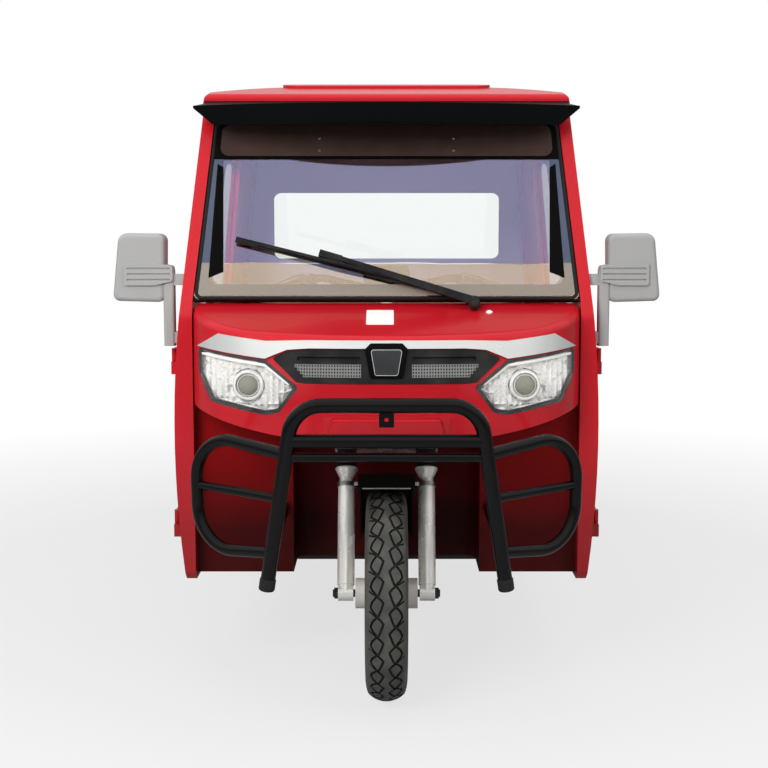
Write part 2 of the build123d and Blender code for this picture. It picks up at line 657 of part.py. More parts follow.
def rear_wall():
    """Back of the cab between the side frames, with its window opening, and the pane that fills it."""
    low, knee, high = LOW_RAIL[1] + SEAT_GAP, INNER_KNEE_Z, ROOF_JOINT_Z - SEAT_GAP
    shape = [
        (INNER_HALF - PANEL_GAP, low),
        (INNER_HALF - PANEL_GAP, knee),
        (inner_half(high) - PANEL_GAP, high),
    ]
    points = shape + [(-x, z) for x, z in reversed(shape)]
    wall = front_prism(outline(points), CAB_REAR - WALL, CAB_REAR)
    half, (window_low, window_high) = INNER_HALF - REAR_WINDOW_MARGIN, REAR_WINDOW_Z
    window = outline(
        [(-half, window_low), (half, window_low), (half, window_high), (-half, window_high)],
        REAR_WINDOW_R,
    )
    wall -= front_prism(window, CAB_REAR - 2 * WALL, CAB_REAR + WALL)
    pane_aft = CAB_REAR - WALL / 2 - GLASS / 2
    glass = front_prism(offset(window, amount=-SEAT_GAP), pane_aft, pane_aft + GLASS)
    return wall, glass


def bulkhead():
    """Front wall of the cab with the recess that the front wheel turns in."""
    half = INNER_HALF - PANEL_GAP
    back = RECESS_BACK + BULKHEAD_WALL
    side = RECESS_HALF + BULKHEAD_WALL
    recess_top = spine_top() + RECESS_OVER_SPINE
    wall = block(
        (-half, half), (BULKHEAD_AFT, BULKHEAD_AFT + BULKHEAD_WALL), (BULKHEAD_BOTTOM, BULKHEAD_TOP),
    )
    wall += block(
        (-side, side),
        (BULKHEAD_AFT, back),
        (BULKHEAD_BOTTOM, recess_top + BULKHEAD_WALL),
        [0, 0, 40.0, 40.0],
    )
    wall -= block((-RECESS_HALF, RECESS_HALF), (0, RECESS_BACK), (0, recess_top), [0, 0, 30.0, 30.0])
    wall -= steer_rod(0, 0, HEADSTOCK_TOP + 30.0, STEERER_TOP - 60.0, STEERER_R + 24.0)
    spine = SPINE_HALF + PANEL_GAP
    return wall - block(
        (-spine, spine),
        (RECESS_BACK - 40.0, back + 10.0),
        (spine_top() - 150.0, spine_top() + PANEL_GAP),
    )


def column_aft(z):
    """Aft distance of the steering axis at a height."""
    return STEER_FOOT[1] - FRONT_AXLE_Y + (z - STEER_FOOT[2]) * math.tan(RAKE_RAD)


def spine_top():
    """Height of the frame's spine, a little under the top of the headstock."""
    return STEER_FOOT[2] + HEADSTOCK_TOP * math.cos(RAKE_RAD) - 26.0


# Nose


def nose_plan(set_back, grow):
    """Plan of the nose in X and aft: a shallow front arc run into two corner arcs, square at the back."""
    front = NOSE_FRONT + set_back
    corner = NOSE_CORNER_SHARE * (NOSE_BACK - front)
    reach = NOSE_BACK - front - corner
    centre_x = NOSE_HALF - corner
    rise = (centre_x**2 - reach**2) / (2 * reach)
    bow_centre = NOSE_BACK + rise
    bow_r = bow_centre - front + grow
    corner_r = corner + grow
    lean = math.atan2(centre_x, rise)
    join = (bow_r * math.sin(lean), bow_centre - bow_r * math.cos(lean))
    half_way = (math.pi / 2 - lean) / 2 + lean
    bulge = (centre_x + corner_r * math.sin(half_way), NOSE_BACK - corner_r * math.cos(half_way))
    end = (centre_x + corner_r, NOSE_BACK)
    mirrored = [(-x, a) for x, a in (join, bulge, end)]
    lines = [
        ThreePointArc(mirrored[0], (0, bow_centre - bow_r), join),
        ThreePointArc(join, bulge, end),
        Line(end, mirrored[2]),
        ThreePointArc(mirrored[2], mirrored[1], mirrored[0]),
    ]
    return make_face(Curve() + lines)


def nose_body(grow):
    """Solid nose, grown or shrunk from the panel's outer surface, cut off by the bonnet slope."""
    sections = [
        Plane((0, FRONT_AXLE_Y, SILL_Z + rise)) * nose_plan(back, grow) for rise, back in NOSE_SECTIONS
    ]
    body = loft(sections, ruled=True)
    slope = (BONNET_REAR_Z - BONNET_EDGE_Z) / (NOSE_BACK - BONNET_EDGE_AFT)
    lift = grow
    rear_z = BONNET_REAR_Z + lift + 60.0 * slope
    front_z = BONNET_EDGE_Z + lift - 100.0 * slope
    above = [
        (NOSE_BACK + 60.0, rear_z),
        (BONNET_EDGE_AFT - 100.0, front_z),
        (BONNET_EDGE_AFT - 100.0, rear_z + 200.0),
        (NOSE_BACK + 60.0, rear_z + 200.0),
    ]
    body -= side_prism(outline(above), -2 * NOSE_HALF, 2 * NOSE_HALF)
    bonnet = body.faces().sort_by(Axis.Z)[-1]
    front_edges = [edge for edge in bonnet.edges() if edge.center().Y < aft(NOSE_BACK) - 1.0]
    return fillet(front_edges, radius=BONNET_EDGE_R + grow)


def nose_underside():
    """Everything below the curved lower edge of the nose panel."""
    half = NOSE_HALF + 60.0
    lines = [
        ThreePointArc((-half, NOSE_LOW_SIDE_Z), (0, NOSE_LOW_MIDDLE_Z), (half, NOSE_LOW_SIDE_Z)),
        Line((half, NOSE_LOW_SIDE_Z), (half, SILL_Z)),
        Line((half, SILL_Z), (-half, SILL_Z)),
        Line((-half, SILL_Z), (-half, NOSE_LOW_SIDE_Z)),
    ]
    return front_prism(make_face(Curve() + lines), NOSE_FRONT - 100.0, NOSE_BACK + 100.0)


# Outlines on the nose's face, as distance in from the nose's side and height, for one half
LAMP_OUTLINE = (
    (25.0, 646.0),
    (27.0, 583.0),
    (63.0, 510.0),
    (211.0, 483.0),
    (246.0, 490.0),
    (297.0, 557.0),
    (213.0, 623.0),
)
TRIM_OUTLINE = (
    (319.0, 675.0),
    (213.0, 672.0),
    (135.0, 681.0),
    (85.0, 687.0),
    (23.0, 651.0),
    (211.0, 628.0),
    (227.0, 635.0),
    (267.0, 651.0),
    (319.0, 655.0),
)
GRILLE_OUTLINE = ((319.0, 652.0), (269.0, 647.0), (229.0, 629.0), (291.0, 571.0), (319.0, 568.0))
BADGE_TOP = (108.0, 652.0)  # width, height over the sill
BADGE_LOW = (84.0, 583.0)
SLAT_BAND = (SILL_Z + 586.0, SILL_Z + 613.0)
SLAT_PITCH = 11.0
SLAT_WIDTH = 6.0
SLAT_INNER_X = 66.0
SLAT_COUNT = 14
GROOVE_BAND = (SILL_Z + 624.0, SILL_Z + 634.0)
GROOVE_END_X = 226.0


def lamp_prism(shrink, front, back):
    """The left lamp's outline, shrunk towards its middle, pushed through the nose's face."""
    face = outline([(NOSE_HALF - inset, SILL_Z + rise) for inset, rise in LAMP_OUTLINE], 12.0)
    return front_prism(offset(face, amount=-shrink) if shrink else face, front, back)


def across_nose(half):
    """Closed outline over both halves, from points given in from the nose's left side."""
    left = [(NOSE_HALF - inset, SILL_Z + rise) for inset, rise in half]
    return left + [(-x, z) for x, z in reversed(left)]


def nose_parts():
    """Nose panel with its openings, lamp buckets and lenses, trim bar, grille and badge plate."""
    outer, inner = nose_body(0.0), nose_body(-NOSE_WALL)
    far = NOSE_FRONT - 60.0
    back_cut = block(
        (-NOSE_HALF + NOSE_WALL, NOSE_HALF - NOSE_WALL),
        (NOSE_BACK - 20.0, NOSE_BACK + 20.0),
        (0, BONNET_REAR_Z - 24.0),
    )
    panel = outer - inner - nose_underside() - back_cut
    grille_face = outline(across_nose(GRILLE_OUTLINE), 5.0)
    lamp_hole = lamp_prism(-PANEL_GAP, far, LAMP_DEPTH_AFT + 10.0)
    panel -= lamp_hole
    panel -= mirror(lamp_hole, about=Plane.YZ)
    panel -= front_prism(offset(grille_face, amount=PANEL_GAP), far, 0.0)
    lid_low, lid_high = LID_Z
    lid = [
        (-LID_HALF, lid_high),
        (LID_HALF, lid_high),
        (LID_HALF - 12.0, lid_low),
        (-LID_HALF + 12.0, lid_low),
    ]
    panel += (nose_body(LID_RISE) - nose_body(-NOSE_WALL / 2)) & front_prism(
        outline(lid, 14.0), far, 0.0,
    )

    lens = (nose_body(2.0) - nose_body(2.0 - LENS_THICKNESS)) & lamp_prism(0.0, far, NOSE_BACK - 20.0)
    shell = nose_body(2.0 - LENS_THICKNESS - SEAT_GAP) & lamp_prism(0.0, far, LAMP_DEPTH_AFT)
    bucket = shell - lamp_prism(LAMP_WALL, far, LAMP_DEPTH_AFT - LAMP_WALL)
    barrel = rod(
        (PROJECTOR_X, LAMP_DEPTH_AFT - 2.0, PROJECTOR_Z),
        (PROJECTOR_X, -35.0, PROJECTOR_Z),
        PROJECTOR_R + 6.0,
    )
    barrel -= rod((PROJECTOR_X, -10.0, PROJECTOR_Z), (PROJECTOR_X, -40.0, PROJECTOR_Z), PROJECTOR_R)
    bucket = bucket + barrel

    trim_face = outline(across_nose(TRIM_OUTLINE))
    trim = (nose_body(9.0) - nose_body(SEAT_GAP)) & front_prism(trim_face, far, NOSE_BACK - 20.0)

    grille = (nose_body(4.0) - nose_body(-16.0)) & front_prism(grille_face, far, 0.0)
    slot_low, slot_high = SLAT_BAND
    for side in (-1, 1):
        for index in range(SLAT_COUNT):
            x = side * (SLAT_INNER_X + SLAT_PITCH * index)
            slot = [
                (x - SLAT_WIDTH / 2, slot_low),
                (x + SLAT_WIDTH / 2, slot_low),
                (x + SLAT_WIDTH / 2, slot_high),
                (x - SLAT_WIDTH / 2, slot_high),
            ]
            grille -= front_prism(outline(slot), far, 0.0)
    groove_low, groove_high = GROOVE_BAND
    for side in (-1, 1):
        ends = sorted((side * SLAT_INNER_X, side * GROOVE_END_X))
        groove = [
            (ends[0], groove_low), (ends[1], groove_low), (ends[1], groove_high), (ends[0], groove_high),
        ]
        grille -= front_prism(outline(groove, 3.0), far, 0.0) - nose_body(-4.0)
    top_half, low_half = BADGE_TOP[0] / 2, BADGE_LOW[0] / 2
    top_z, low_z = SILL_Z + BADGE_TOP[1], SILL_Z + BADGE_LOW[1]
    shield = outline(
        [(-top_half, top_z), (top_half, top_z), (low_half, low_z), (-low_half, low_z)], 8.0,
    )
    badge = (nose_body(10.0) - nose_body(4.0 + SEAT_GAP)) & front_prism(shield, far, 0.0)
    badge -= front_prism(offset(shield, amount=-5.0), far, 0.0) - nose_body(8.0)
    return panel, bucket, lens, trim, grille, badge


# Roof and visor


def roof_block(shrink):
    """Crowned roof solid, as the overlap of a front view and a side view, shrunk for the inside."""
    half = HALF_AT_ROOF - shrink
    base = ROOF_JOINT_Z - (20.0 if shrink else 0.0)
    edge, peak = ROOF_EDGE_Z - shrink, ROOF_PEAK_Z - shrink
    edge_z = edge
    front_view = Curve() + [
        Line((-half, base), (half, base)),
        Line((half, base), (half - 8.0, edge)),
        ThreePointArc((half - 8.0, edge), (0, peak), (-half + 8.0, edge)),
        Line((-half + 8.0, edge), (-half, base)),
    ]
    front, rear = ROOF_FRONT + shrink, ROOF_REAR - shrink
    side_view = Curve() + [
        Line((front, base), (rear, base)),
        Line((rear, base), (rear, edge + 14.0)),
        ThreePointArc((rear, edge + 14.0), (ROOF_RIDGE_AFT, peak), (front, edge - 8.0)),
        Line((front, edge - 8.0), (front, base)),
    ]
    solid = front_prism(make_face(front_view), front, rear) & side_prism(
        make_face(side_view), -half, half,
    )
    rim = [edge for edge in solid.edges() if edge.center().Z > base + (edge_z - base) / 2]
    return fillet(rim, radius=ROOF_EDGE_R)


def roof():
    """Hollow roof panel with a raised centre pad."""
    shell = roof_block(0.0) - roof_block(ROOF_WALL)
    pad_plan = block(
        (-300.0, 300.0),
        (ROOF_FRONT + 190.0, ROOF_REAR - 130.0),
        (ROOF_JOINT_Z, ROOF_PEAK_Z + 60.0),
        60.0,
    )
    pad = (Pos(0, 0, ROOF_PAD_RISE) * roof_block(0.0)) & pad_plan
    return union([shell, pad - roof_block(ROOF_WALL / 2)])


def visor_plan(shift):
    """Plan of the visor in X and aft: bowed front edge, pointed tips, straight rear edge at the roof."""
    tip = VISOR_FRONT + shift + VISOR_BOW
    rear = ROOF_FRONT - SEAT_GAP
    neck = HALF_AT_ROOF - 6.0
    lines = [
        ThreePointArc((-VISOR_HALF, tip), (0, VISOR_FRONT + shift), (VISOR_HALF, tip)),
        Line((VISOR_HALF, tip), (neck, tip + VISOR_POINT)),
        Line((neck, tip + VISOR_POINT), (neck, rear)),
        Line((neck, rear), (-neck, rear)),
        Line((-neck, rear), (-neck, tip + VISOR_POINT)),
        Line((-neck, tip + VISOR_POINT), (-VISOR_HALF, tip)),
    ]
    return make_face(Curve() + lines)


def visor():
    """Sun visor: flat sheet bent up to the roof, with a turned-down lip that tapers away at its ends."""
    bend = VISOR_FRONT + VISOR_BOW + 2.0
    sheet = [
        (VISOR_FRONT - 20.0, VISOR_LIP_TOP),
        (bend, VISOR_LIP_TOP),
        (ROOF_FRONT, VISOR_LIP_TOP + VISOR_RISE),
        (ROOF_FRONT, VISOR_LIP_TOP + VISOR_RISE - VISOR_SHEET),
        (bend, VISOR_LIP_TOP - VISOR_SHEET),
        (VISOR_FRONT - 20.0, VISOR_LIP_TOP - VISOR_SHEET),
    ]
    top = plan_prism(visor_plan(0.0), VISOR_LIP_BOTTOM, VISOR_LIP_TOP + VISOR_LIP) & side_prism(
        outline(sheet), -VISOR_HALF, VISOR_HALF,
    )
    lip = plan_prism(visor_plan(0.0), VISOR_LIP_BOTTOM, VISOR_LIP_TOP) - plan_prism(
        visor_plan(VISOR_SHEET), VISOR_LIP_BOTTOM - 10.0, VISOR_LIP_TOP + 10.0,
    )
    start, end, low = VISOR_HALF - 55.0, VISOR_HALF + 40.0, VISOR_LIP_BOTTOM - 20.0
    taper = [
        (start, VISOR_LIP_BOTTOM),
        (VISOR_HALF, VISOR_LIP_TOP - VISOR_SHEET),
        (end, VISOR_LIP_TOP - VISOR_SHEET),
        (end, low),
        (start, low),
    ]
    cut = front_prism(outline(taper), 0.0, ROOF_FRONT + 100.0)
    lip = lip - cut - mirror(cut, about=Plane.YZ)
    return union([top, lip])


# Bull bar


def bull_bar():
    """Bent-tube guard: splayed arch, cross tubes, a loop with a rung each side, stays to the bulkhead."""
    foot = (BAR_FOOT_X, BAR_R - FRONT_OVERHANG + 38.0, SILL_Z + 83.0)
    crown = (BAR_CROWN_X, BAR_R - FRONT_OVERHANG, SILL_Z + 539.0)

    def on_upright(rise):
        share = (SILL_Z + rise - foot[2]) / (crown[2] - foot[2])
        return tuple(low + share * (high - low) for low, high in zip(foot, crown))

    def flip(point):
        return (-point[0], point[1], point[2])

    bar = bent_tube([foot, crown, flip(crown), flip(foot)], BAR_BEND_R, BAR_R)
    for rise, radius in ((452.0, BAR_R - 1.0), (413.0, RUNG_R)):
        bar = bar.fuse(rod(on_upright(rise), flip(on_upright(rise)), radius))
    for turn in (lambda point: point, flip):
        start, end = on_upright(419.0), on_upright(177.0)
        loop = [
            start, (LOOP_X, LOOP_AFT, SILL_Z + 453.0), (LOOP_X - 6.0, LOOP_AFT, SILL_Z + 155.0), end,
        ]
        bar = bar.fuse(bent_tube([turn(point) for point in loop], LOOP_BEND_R, LOOP_R))
        bar = bar.fuse(
            rod(turn(on_upright(311.0)), turn((LOOP_X - 3.0, LOOP_AFT, SILL_Z + 319.0)), RUNG_R)
        )
        stay = on_upright(197.0)
        bar = bar.fuse(rod(turn(stay), turn((stay[0], BULKHEAD_AFT - SEAT_GAP, stay[2])), RUNG_R))
    tab = block(
        (-18.0, 18.0), (crown[1] - 3.0, crown[1] + 3.0), (crown[2] - BAR_R - 34.0, crown[2]), 1.0,
    )
    bar = bar.fuse(tab)
    return bar - rod(
        (0, crown[1] - 10.0, crown[2] - BAR_R - 16.0),
        (0, crown[1] + 10.0, crown[2] - BAR_R - 16.0),
        5.0,
    )


# Chassis and running gear


SPRING_CHORD = 700.0
SPRING_RISE = 110.0
LEAF = 8.0
LEAF_WIDTH = 50.0
LEAF_SHARES = (1.0, 0.78, 0.56, 0.36)
EYE_R = 16.0
EYE_PIN_R = 7.0
AXLE_TUBE_R = 32.0
SPRING_SEAT_Z = AXLE_Z + AXLE_TUBE_R + 14.0
SPRING_R = (SPRING_CHORD**2 / 4 + SPRING_RISE**2) / (2 * SPRING_RISE)
MAIN_LEAF_Z = SPRING_SEAT_Z + SEAT_GAP + LEAF * (len(LEAF_SHARES) - 1)
EYE_Z = MAIN_LEAF_Z + SPRING_RISE + EYE_R
SHAFT_R = 16.0
HOUSING_HALF = REAR_TRACK / 2 - 70.0


def chassis():
    """Ladder frame with a kick-up, cross members, spine with headstock, and spring hangers."""
    low, high = LOW_RAIL, HIGH_RAIL
    start, end = RECESS_BACK + BULKHEAD_WALL + 1.0, BED_REAR - 20.0
    kick, level = CAB_REAR + 4.0, BED_FRONT + 10.0
    side_view = [
        (start, low[0]),
        (kick + 25.0, low[0]),
        (level + 25.0, high[0]),
        (end, high[0]),
        (end, high[1]),
        (level, high[1]),
        (kick, low[1]),
        (start, low[1]),
    ]
    rail = side_prism(outline(side_view), RAIL_X - RAIL_WIDTH / 2, RAIL_X + RAIL_WIDTH / 2)
    pieces = [rail, mirror(rail, about=Plane.YZ)]
    reach = (-RAIL_X, RAIL_X)
    for a, (z_low, z_high) in (
        (start + 25.0, low),
        ((start + kick) / 2, low),
        (CAB_REAR - 90.0, low),
        (level + 40.0, high),
        (WHEELBASE + 420.0, high),
        (end - 25.0, high),
    ):
        pieces.append(block(reach, (a - 25.0, a + 25.0), (z_low, z_high)))
    top, post = spine_top(), RECESS_BACK + BULKHEAD_WALL + 3.0
    spine = [
        (column_aft(top) + 20.0, top - 80.0),
        (column_aft(top), top),
        (post + SPINE_DEPTH - 25.0, top),
        (post + SPINE_DEPTH, top - 60.0),
        (post + SPINE_DEPTH, low[0]),
        (post, low[0]),
        (post, top - 130.0),
    ]
    pieces.append(side_prism(outline(spine), -SPINE_HALF, SPINE_HALF))
    pieces.append(steer_rod(0, 0, HEADSTOCK_BOTTOM, HEADSTOCK_TOP, HEADSTOCK_R))
    ear = 8.0
    for side in (-1, 1):
        for sign in (-1, 1):
            a = WHEELBASE + sign * SPRING_CHORD / 2
            for face in (-1, 1):
                x = side * RAIL_X + face * (LEAF_WIDTH / 2 + 1.0)
                cheek_x = sorted((x, x + face * ear))
                pieces.append(block(cheek_x, (a - 22.0, a + 22.0), (EYE_Z - 22.0, high[0] + 1.0)))
            ends = LEAF_WIDTH / 2 + 4.0
            pieces.append(
                rod((side * RAIL_X - ends, a, EYE_Z), (side * RAIL_X + ends, a, EYE_Z), EYE_PIN_R)
            )
            plate_x = (side * RAIL_X - 30.0, side * RAIL_X + 30.0)
            pieces.append(block(plate_x, (a - 22.0, a + 22.0), (high[0] - 10.0, high[0] + 1.0)))
    frame = union(pieces)
    return frame - steer_rod(0, 0, HEADSTOCK_BOTTOM - 1.0, HEADSTOCK_TOP + 1.0, STEERER_R + RUN_GAP)


def leaf_spring():
    """Left leaf pack: nested arcs, longest on top, with an eye at each end of the main leaf."""
    centre = MAIN_LEAF_Z + SPRING_R
    half_angle = math.asin(SPRING_CHORD / 2 / SPRING_R)
    pieces = []
    for index, share in enumerate(LEAF_SHARES):
        inner, outer = SPRING_R + (index - 1) * LEAF, SPRING_R + index * LEAF
        angle = half_angle * share

        def at(radius, turn):
            return (WHEELBASE + radius * math.sin(turn), centre - radius * math.cos(turn))

        lines = [
            ThreePointArc(at(inner, -angle), at(inner, 0), at(inner, angle)),
            Line(at(inner, angle), at(outer, angle)),
            ThreePointArc(at(outer, angle), at(outer, 0), at(outer, -angle)),
            Line(at(outer, -angle), at(inner, -angle)),
        ]
        pieces.append(
            side_prism(make_face(Curve() + lines), RAIL_X - LEAF_WIDTH / 2, RAIL_X + LEAF_WIDTH / 2)
        )
    spring = pieces
    ends = []
    for sign in (-1, 1):
        a = WHEELBASE + sign * SPRING_CHORD / 2
        spring.append(
            rod((RAIL_X - LEAF_WIDTH / 2, a, EYE_Z), (RAIL_X + LEAF_WIDTH / 2, a, EYE_Z), EYE_R)
        )
        ends.append(
            rod((RAIL_X - LEAF_WIDTH, a, EYE_Z), (RAIL_X + LEAF_WIDTH, a, EYE_Z), EYE_PIN_R + 0.1)
        )
    pack = union(spring)
    for end in ends:
        pack -= end
    return pack


def rear_axle():
    """Axle housing with its gear case, spring seats and brake backing plates, bored for the half shafts."""
    a = WHEELBASE
    housing = rod((-HOUSING_HALF, a, AXLE_Z), (HOUSING_HALF, a, AXLE_Z), AXLE_TUBE_R)
    case = [(-75.0, 0), (-75.0, 60.0), (-45.0, 108.0), (45.0, 108.0), (75.0, 60.0), (75.0, 0)]
    gear_case = Pos(0, REAR_AXLE_Y, AXLE_Z) * revolve(outline(case), axis=Axis.X)
    pieces = [housing, gear_case]
    for side in (-1, 1):
        x = side * RAIL_X
        pieces.append(block((x - 28.0, x + 28.0), (a - 45.0, a + 45.0), (AXLE_Z, SPRING_SEAT_Z)))
        plate = (side * (HOUSING_HALF - 8.0), side * HOUSING_HALF)
        pieces.append(rod((plate[0], a, AXLE_Z), (plate[1], a, AXLE_Z), DRUM_R))
    return union(pieces) - rod(
        (-HOUSING_HALF - 1.0, a, AXLE_Z), (HOUSING_HALF + 1.0, a, AXLE_Z), SHAFT_R + RUN_GAP,
    )


def rear_rim():
    """Left rear wheel with the end of its half shaft, about the X axis."""
    shaft = Plane((HOUSING_HALF - REAR_TRACK / 2 - 120.0, 0, 0), z_dir=(1, 0, 0))
    wheel = rim(52.0, SHAFT_R - 2.0)
    return wheel + extrude(shaft * Circle(SHAFT_R), amount=REAR_TRACK / 2 - HOUSING_HALF + 120.0 + 52.0)


def drive_motor():
    """Finned motor in front of the gear case."""
    back = WHEELBASE - 108.0 - SEAT_GAP
    front = back - 210.0
    motor = rod((0, front, AXLE_Z), (0, back, AXLE_Z), 78.0)
    for index in range(6):
        a = front + 30.0 + 26.0 * index
        motor += rod((0, a, AXLE_Z), (0, a + 10.0, AXLE_Z), 90.0)
    return motor


def rear_mudguard():
    """Left rear mudguard hung from the bed floor."""
    inner, outer, half = TYRE_R + 34.0, TYRE_R + 38.0, 70.0
    x = REAR_TRACK / 2
    section = [(x - half, inner), (x + half, inner), (x + half, outer), (x - half, outer)]
    start = Rot(68.0, 0, 0) * (Plane.XZ * outline(section))
    guard = Pos(0, REAR_AXLE_Y, AXLE_Z) * revolve(
        start, axis=Axis((0, 0, 0), (-1, 0, 0)), revolution_arc=140.0,
    )
    return guard + block(
        (x - 15.0, x + 15.0),
        (WHEELBASE - 40.0, WHEELBASE + 40.0),
        (AXLE_Z + outer - 3.0, BED_FLOOR_Z - SEAT_GAP),
    )


# Cab fittings


def cab_floor():
    """Floor pan behind the bulkhead, notched round the frame's spine."""
    front, half = RECESS_BACK + BULKHEAD_WALL + PANEL_GAP, INNER_HALF - PANEL_GAP
    z = LOW_RAIL[1] + SEAT_GAP
    floor = block((-half, half), (front, CAB_REAR - WALL - PANEL_GAP), (z, z + FLOOR))
    notch = SPINE_HALF + PANEL_GAP
    return floor - block(
        (-notch, notch),
        (front - 10.0, RECESS_BACK + BULKHEAD_WALL + 3.0 + SPINE_DEPTH + PANEL_GAP),
        (0, 1000.0),
    )


CAB_FLOOR_Z = LOW_RAIL[1] + SEAT_GAP + FLOOR
SEAT_LENGTH = 580.0
SEAT_REAR = CAB_REAR - 110.0
SEAT_FRONT = SEAT_REAR - SEAT_LENGTH
SEAT_HALF = INNER_HALF - 80.0
SEAT_BOX = 296.4
SEAT_BACK_HEIGHT = 390.0
SEAT_BASE_Z = CAB_FLOOR_Z + SEAT_GAP + SEAT_BOX
CUSHION = 92.0


def seat_base():
    """Seat box, open below, that covers the batteries."""
    z = CAB_FLOOR_Z + SEAT_GAP
    box = block((-SEAT_HALF, SEAT_HALF), (SEAT_FRONT, SEAT_REAR), (z, SEAT_BASE_Z), 20.0)
    return box - block(
        (-SEAT_HALF + 6.0, SEAT_HALF - 6.0),
        (SEAT_FRONT + 6.0, SEAT_REAR - 6.0),
        (0, SEAT_BASE_Z - 6.0),
        14.0,
    )


def battery_pack():
    """Plain block for the traction batteries inside the seat box."""
    z = CAB_FLOOR_Z + SEAT_GAP
    return block(
        (-SEAT_HALF + 50.0, SEAT_HALF - 50.0), (SEAT_FRONT + 60.0, SEAT_REAR - 90.0), (z, z + 220.0),
    )


def seat_cushion():
    """Bench cushion."""
    z = SEAT_BASE_Z + SEAT_GAP
    return block(
        (-SEAT_HALF, SEAT_HALF), (SEAT_FRONT - 15.0, SEAT_REAR - 112.0), (z, z + CUSHION), 40.0,
    )


def seat_back():
    """Leaning backrest that stands on the rear of the seat box."""
    z = SEAT_BASE_Z + SEAT_GAP
    shape = [
        (SEAT_REAR - 108.0, z),
        (SEAT_REAR - 66.0, z + SEAT_BACK_HEIGHT),
        (SEAT_REAR + 24.0, z + SEAT_BACK_HEIGHT),
        (SEAT_REAR - 10.0, z),
    ]
    return side_prism(outline(shape, [8.0, 30.0, 30.0, 8.0]), -SEAT_HALF, SEAT_HALF)


def dashboard():
    """Moulded shelf under the windscreen, notched for the steering column."""
    front = BULKHEAD_AFT + BULKHEAD_WALL + SEAT_GAP
    shape = [
        (front, SILL_Z + 655.0),
        (front, SILL_Z + 721.0),
        (front + 50.0, SILL_Z + 737.0),
        (front + 196.0, SILL_Z + 727.0),
        (front + 266.0, SILL_Z + 677.0),
        (front + 256.0, SILL_Z + 640.0),
        (front + 136.0, SILL_Z + 620.0),
    ]
    shelf = side_prism(
        outline(shape, [4.0, 8.0, 20.0, 30.0, 18.0, 18.0, 18.0]), -INNER_HALF + 8.0, INNER_HALF - 8.0,
    )
    slot = (column_aft(SILL_Z + 620.0) - 40.0, front + 320.0)
    return shelf - block((-48.0, 48.0), slot, (SILL_Z + 580.0, SILL_Z + 800.0))


def foot_brake():
    """Brake pedal standing on the floor."""
    z = CAB_FLOOR_Z + SEAT_GAP
    base = block((-170.0, -110.0), (470.0, 530.0), (z, z + 8.0), 6.0)
    arm = side_prism(
        outline([(490.0, z + 6.0), (505.0, z + 6.0), (470.0, z + 130.0), (455.0, z + 130.0)]),
        -146.0,
        -134.0,
    )
    pad = side_prism(
        outline([(445.0, z + 120.0), (478.0, z + 146.0), (471.0, z + 156.0), (438.0, z + 130.0)]),
        -175.0,
        -105.0,
    )
    return union([base, arm, pad])


def mirror_unit():
    """Left door mirror: ribbed housing on a wide arm, bracket foot on the side frame, and its glass."""
    out = CAB_HALF
    corners = [
        (out + 24.0, SILL_Z + 941.0),
        (out + 149.0, SILL_Z + 943.0),
        (out + 167.5, SILL_Z + 761.0),
        (out + 28.0, SILL_Z + 757.0),
    ]
    face = outline(corners, [20.0, 26.0, 18.0, 18.0])
    housing = front_prism(face, 150.0, 214.0)
    housing = fillet(housing.faces().sort_by(Axis.Y)[0].edges(), radius=12.0)
    band = [
        (out + 3.5, SILL_Z + 855.0),
        (out + 52.0, SILL_Z + 863.0),
        (out + 134.0, SILL_Z + 863.0),
        (out + 134.0, SILL_Z + 803.0),
        (out + 52.0, SILL_Z + 803.0),
        (out + 3.5, SILL_Z + 815.0),
    ]
    arm = front_prism(outline(band, 8.0), 144.0, 190.0)
    for z in (SILL_Z + 818.0, SILL_Z + 833.0, SILL_Z + 848.0):
        groove = [
            (out + 10.0, z - 2.5), (out + 126.0, z - 2.5), (out + 126.0, z + 2.5), (out + 10.0, z + 2.5),
        ]
        arm -= front_prism(outline(groove, 2.0), 130.0, 147.5)
    post = block((out + 0.5, out + 30.5), (150.0, 186.0), (SILL_Z + 639.0, SILL_Z + 845.0), 8.0)
    foot_heights = (SILL_Z + 647.0, SILL_Z + 803.0)
    feet = [block((out - 31.5, out + 13.5), (154.0, 182.0), (z, z + 30.0)) for z in foot_heights]
    unit = union([housing, arm, post, *feet])
    recess = offset(face, amount=-6.0)
    unit -= front_prism(recess, 208.0, 220.0)
    glass = front_prism(offset(recess, amount=-SEAT_GAP), 208.0 + SEAT_GAP, 212.0)
    wall = Curve() + side_curve() + [
        Line((HALF_AT_ROOF, ROOF_JOINT_Z), (0, ROOF_JOINT_Z)),
        Line((0, ROOF_JOINT_Z), (0, SIDE_FOOT_Z)),
        Line((0, SIDE_FOOT_Z), (HALF_AT_FOOT, SIDE_FOOT_Z)),
    ]
    inside = Pos(SEAT_GAP, 0, 0) * front_prism(make_face(wall), 0.0, 400.0)
    return unit - inside, glass


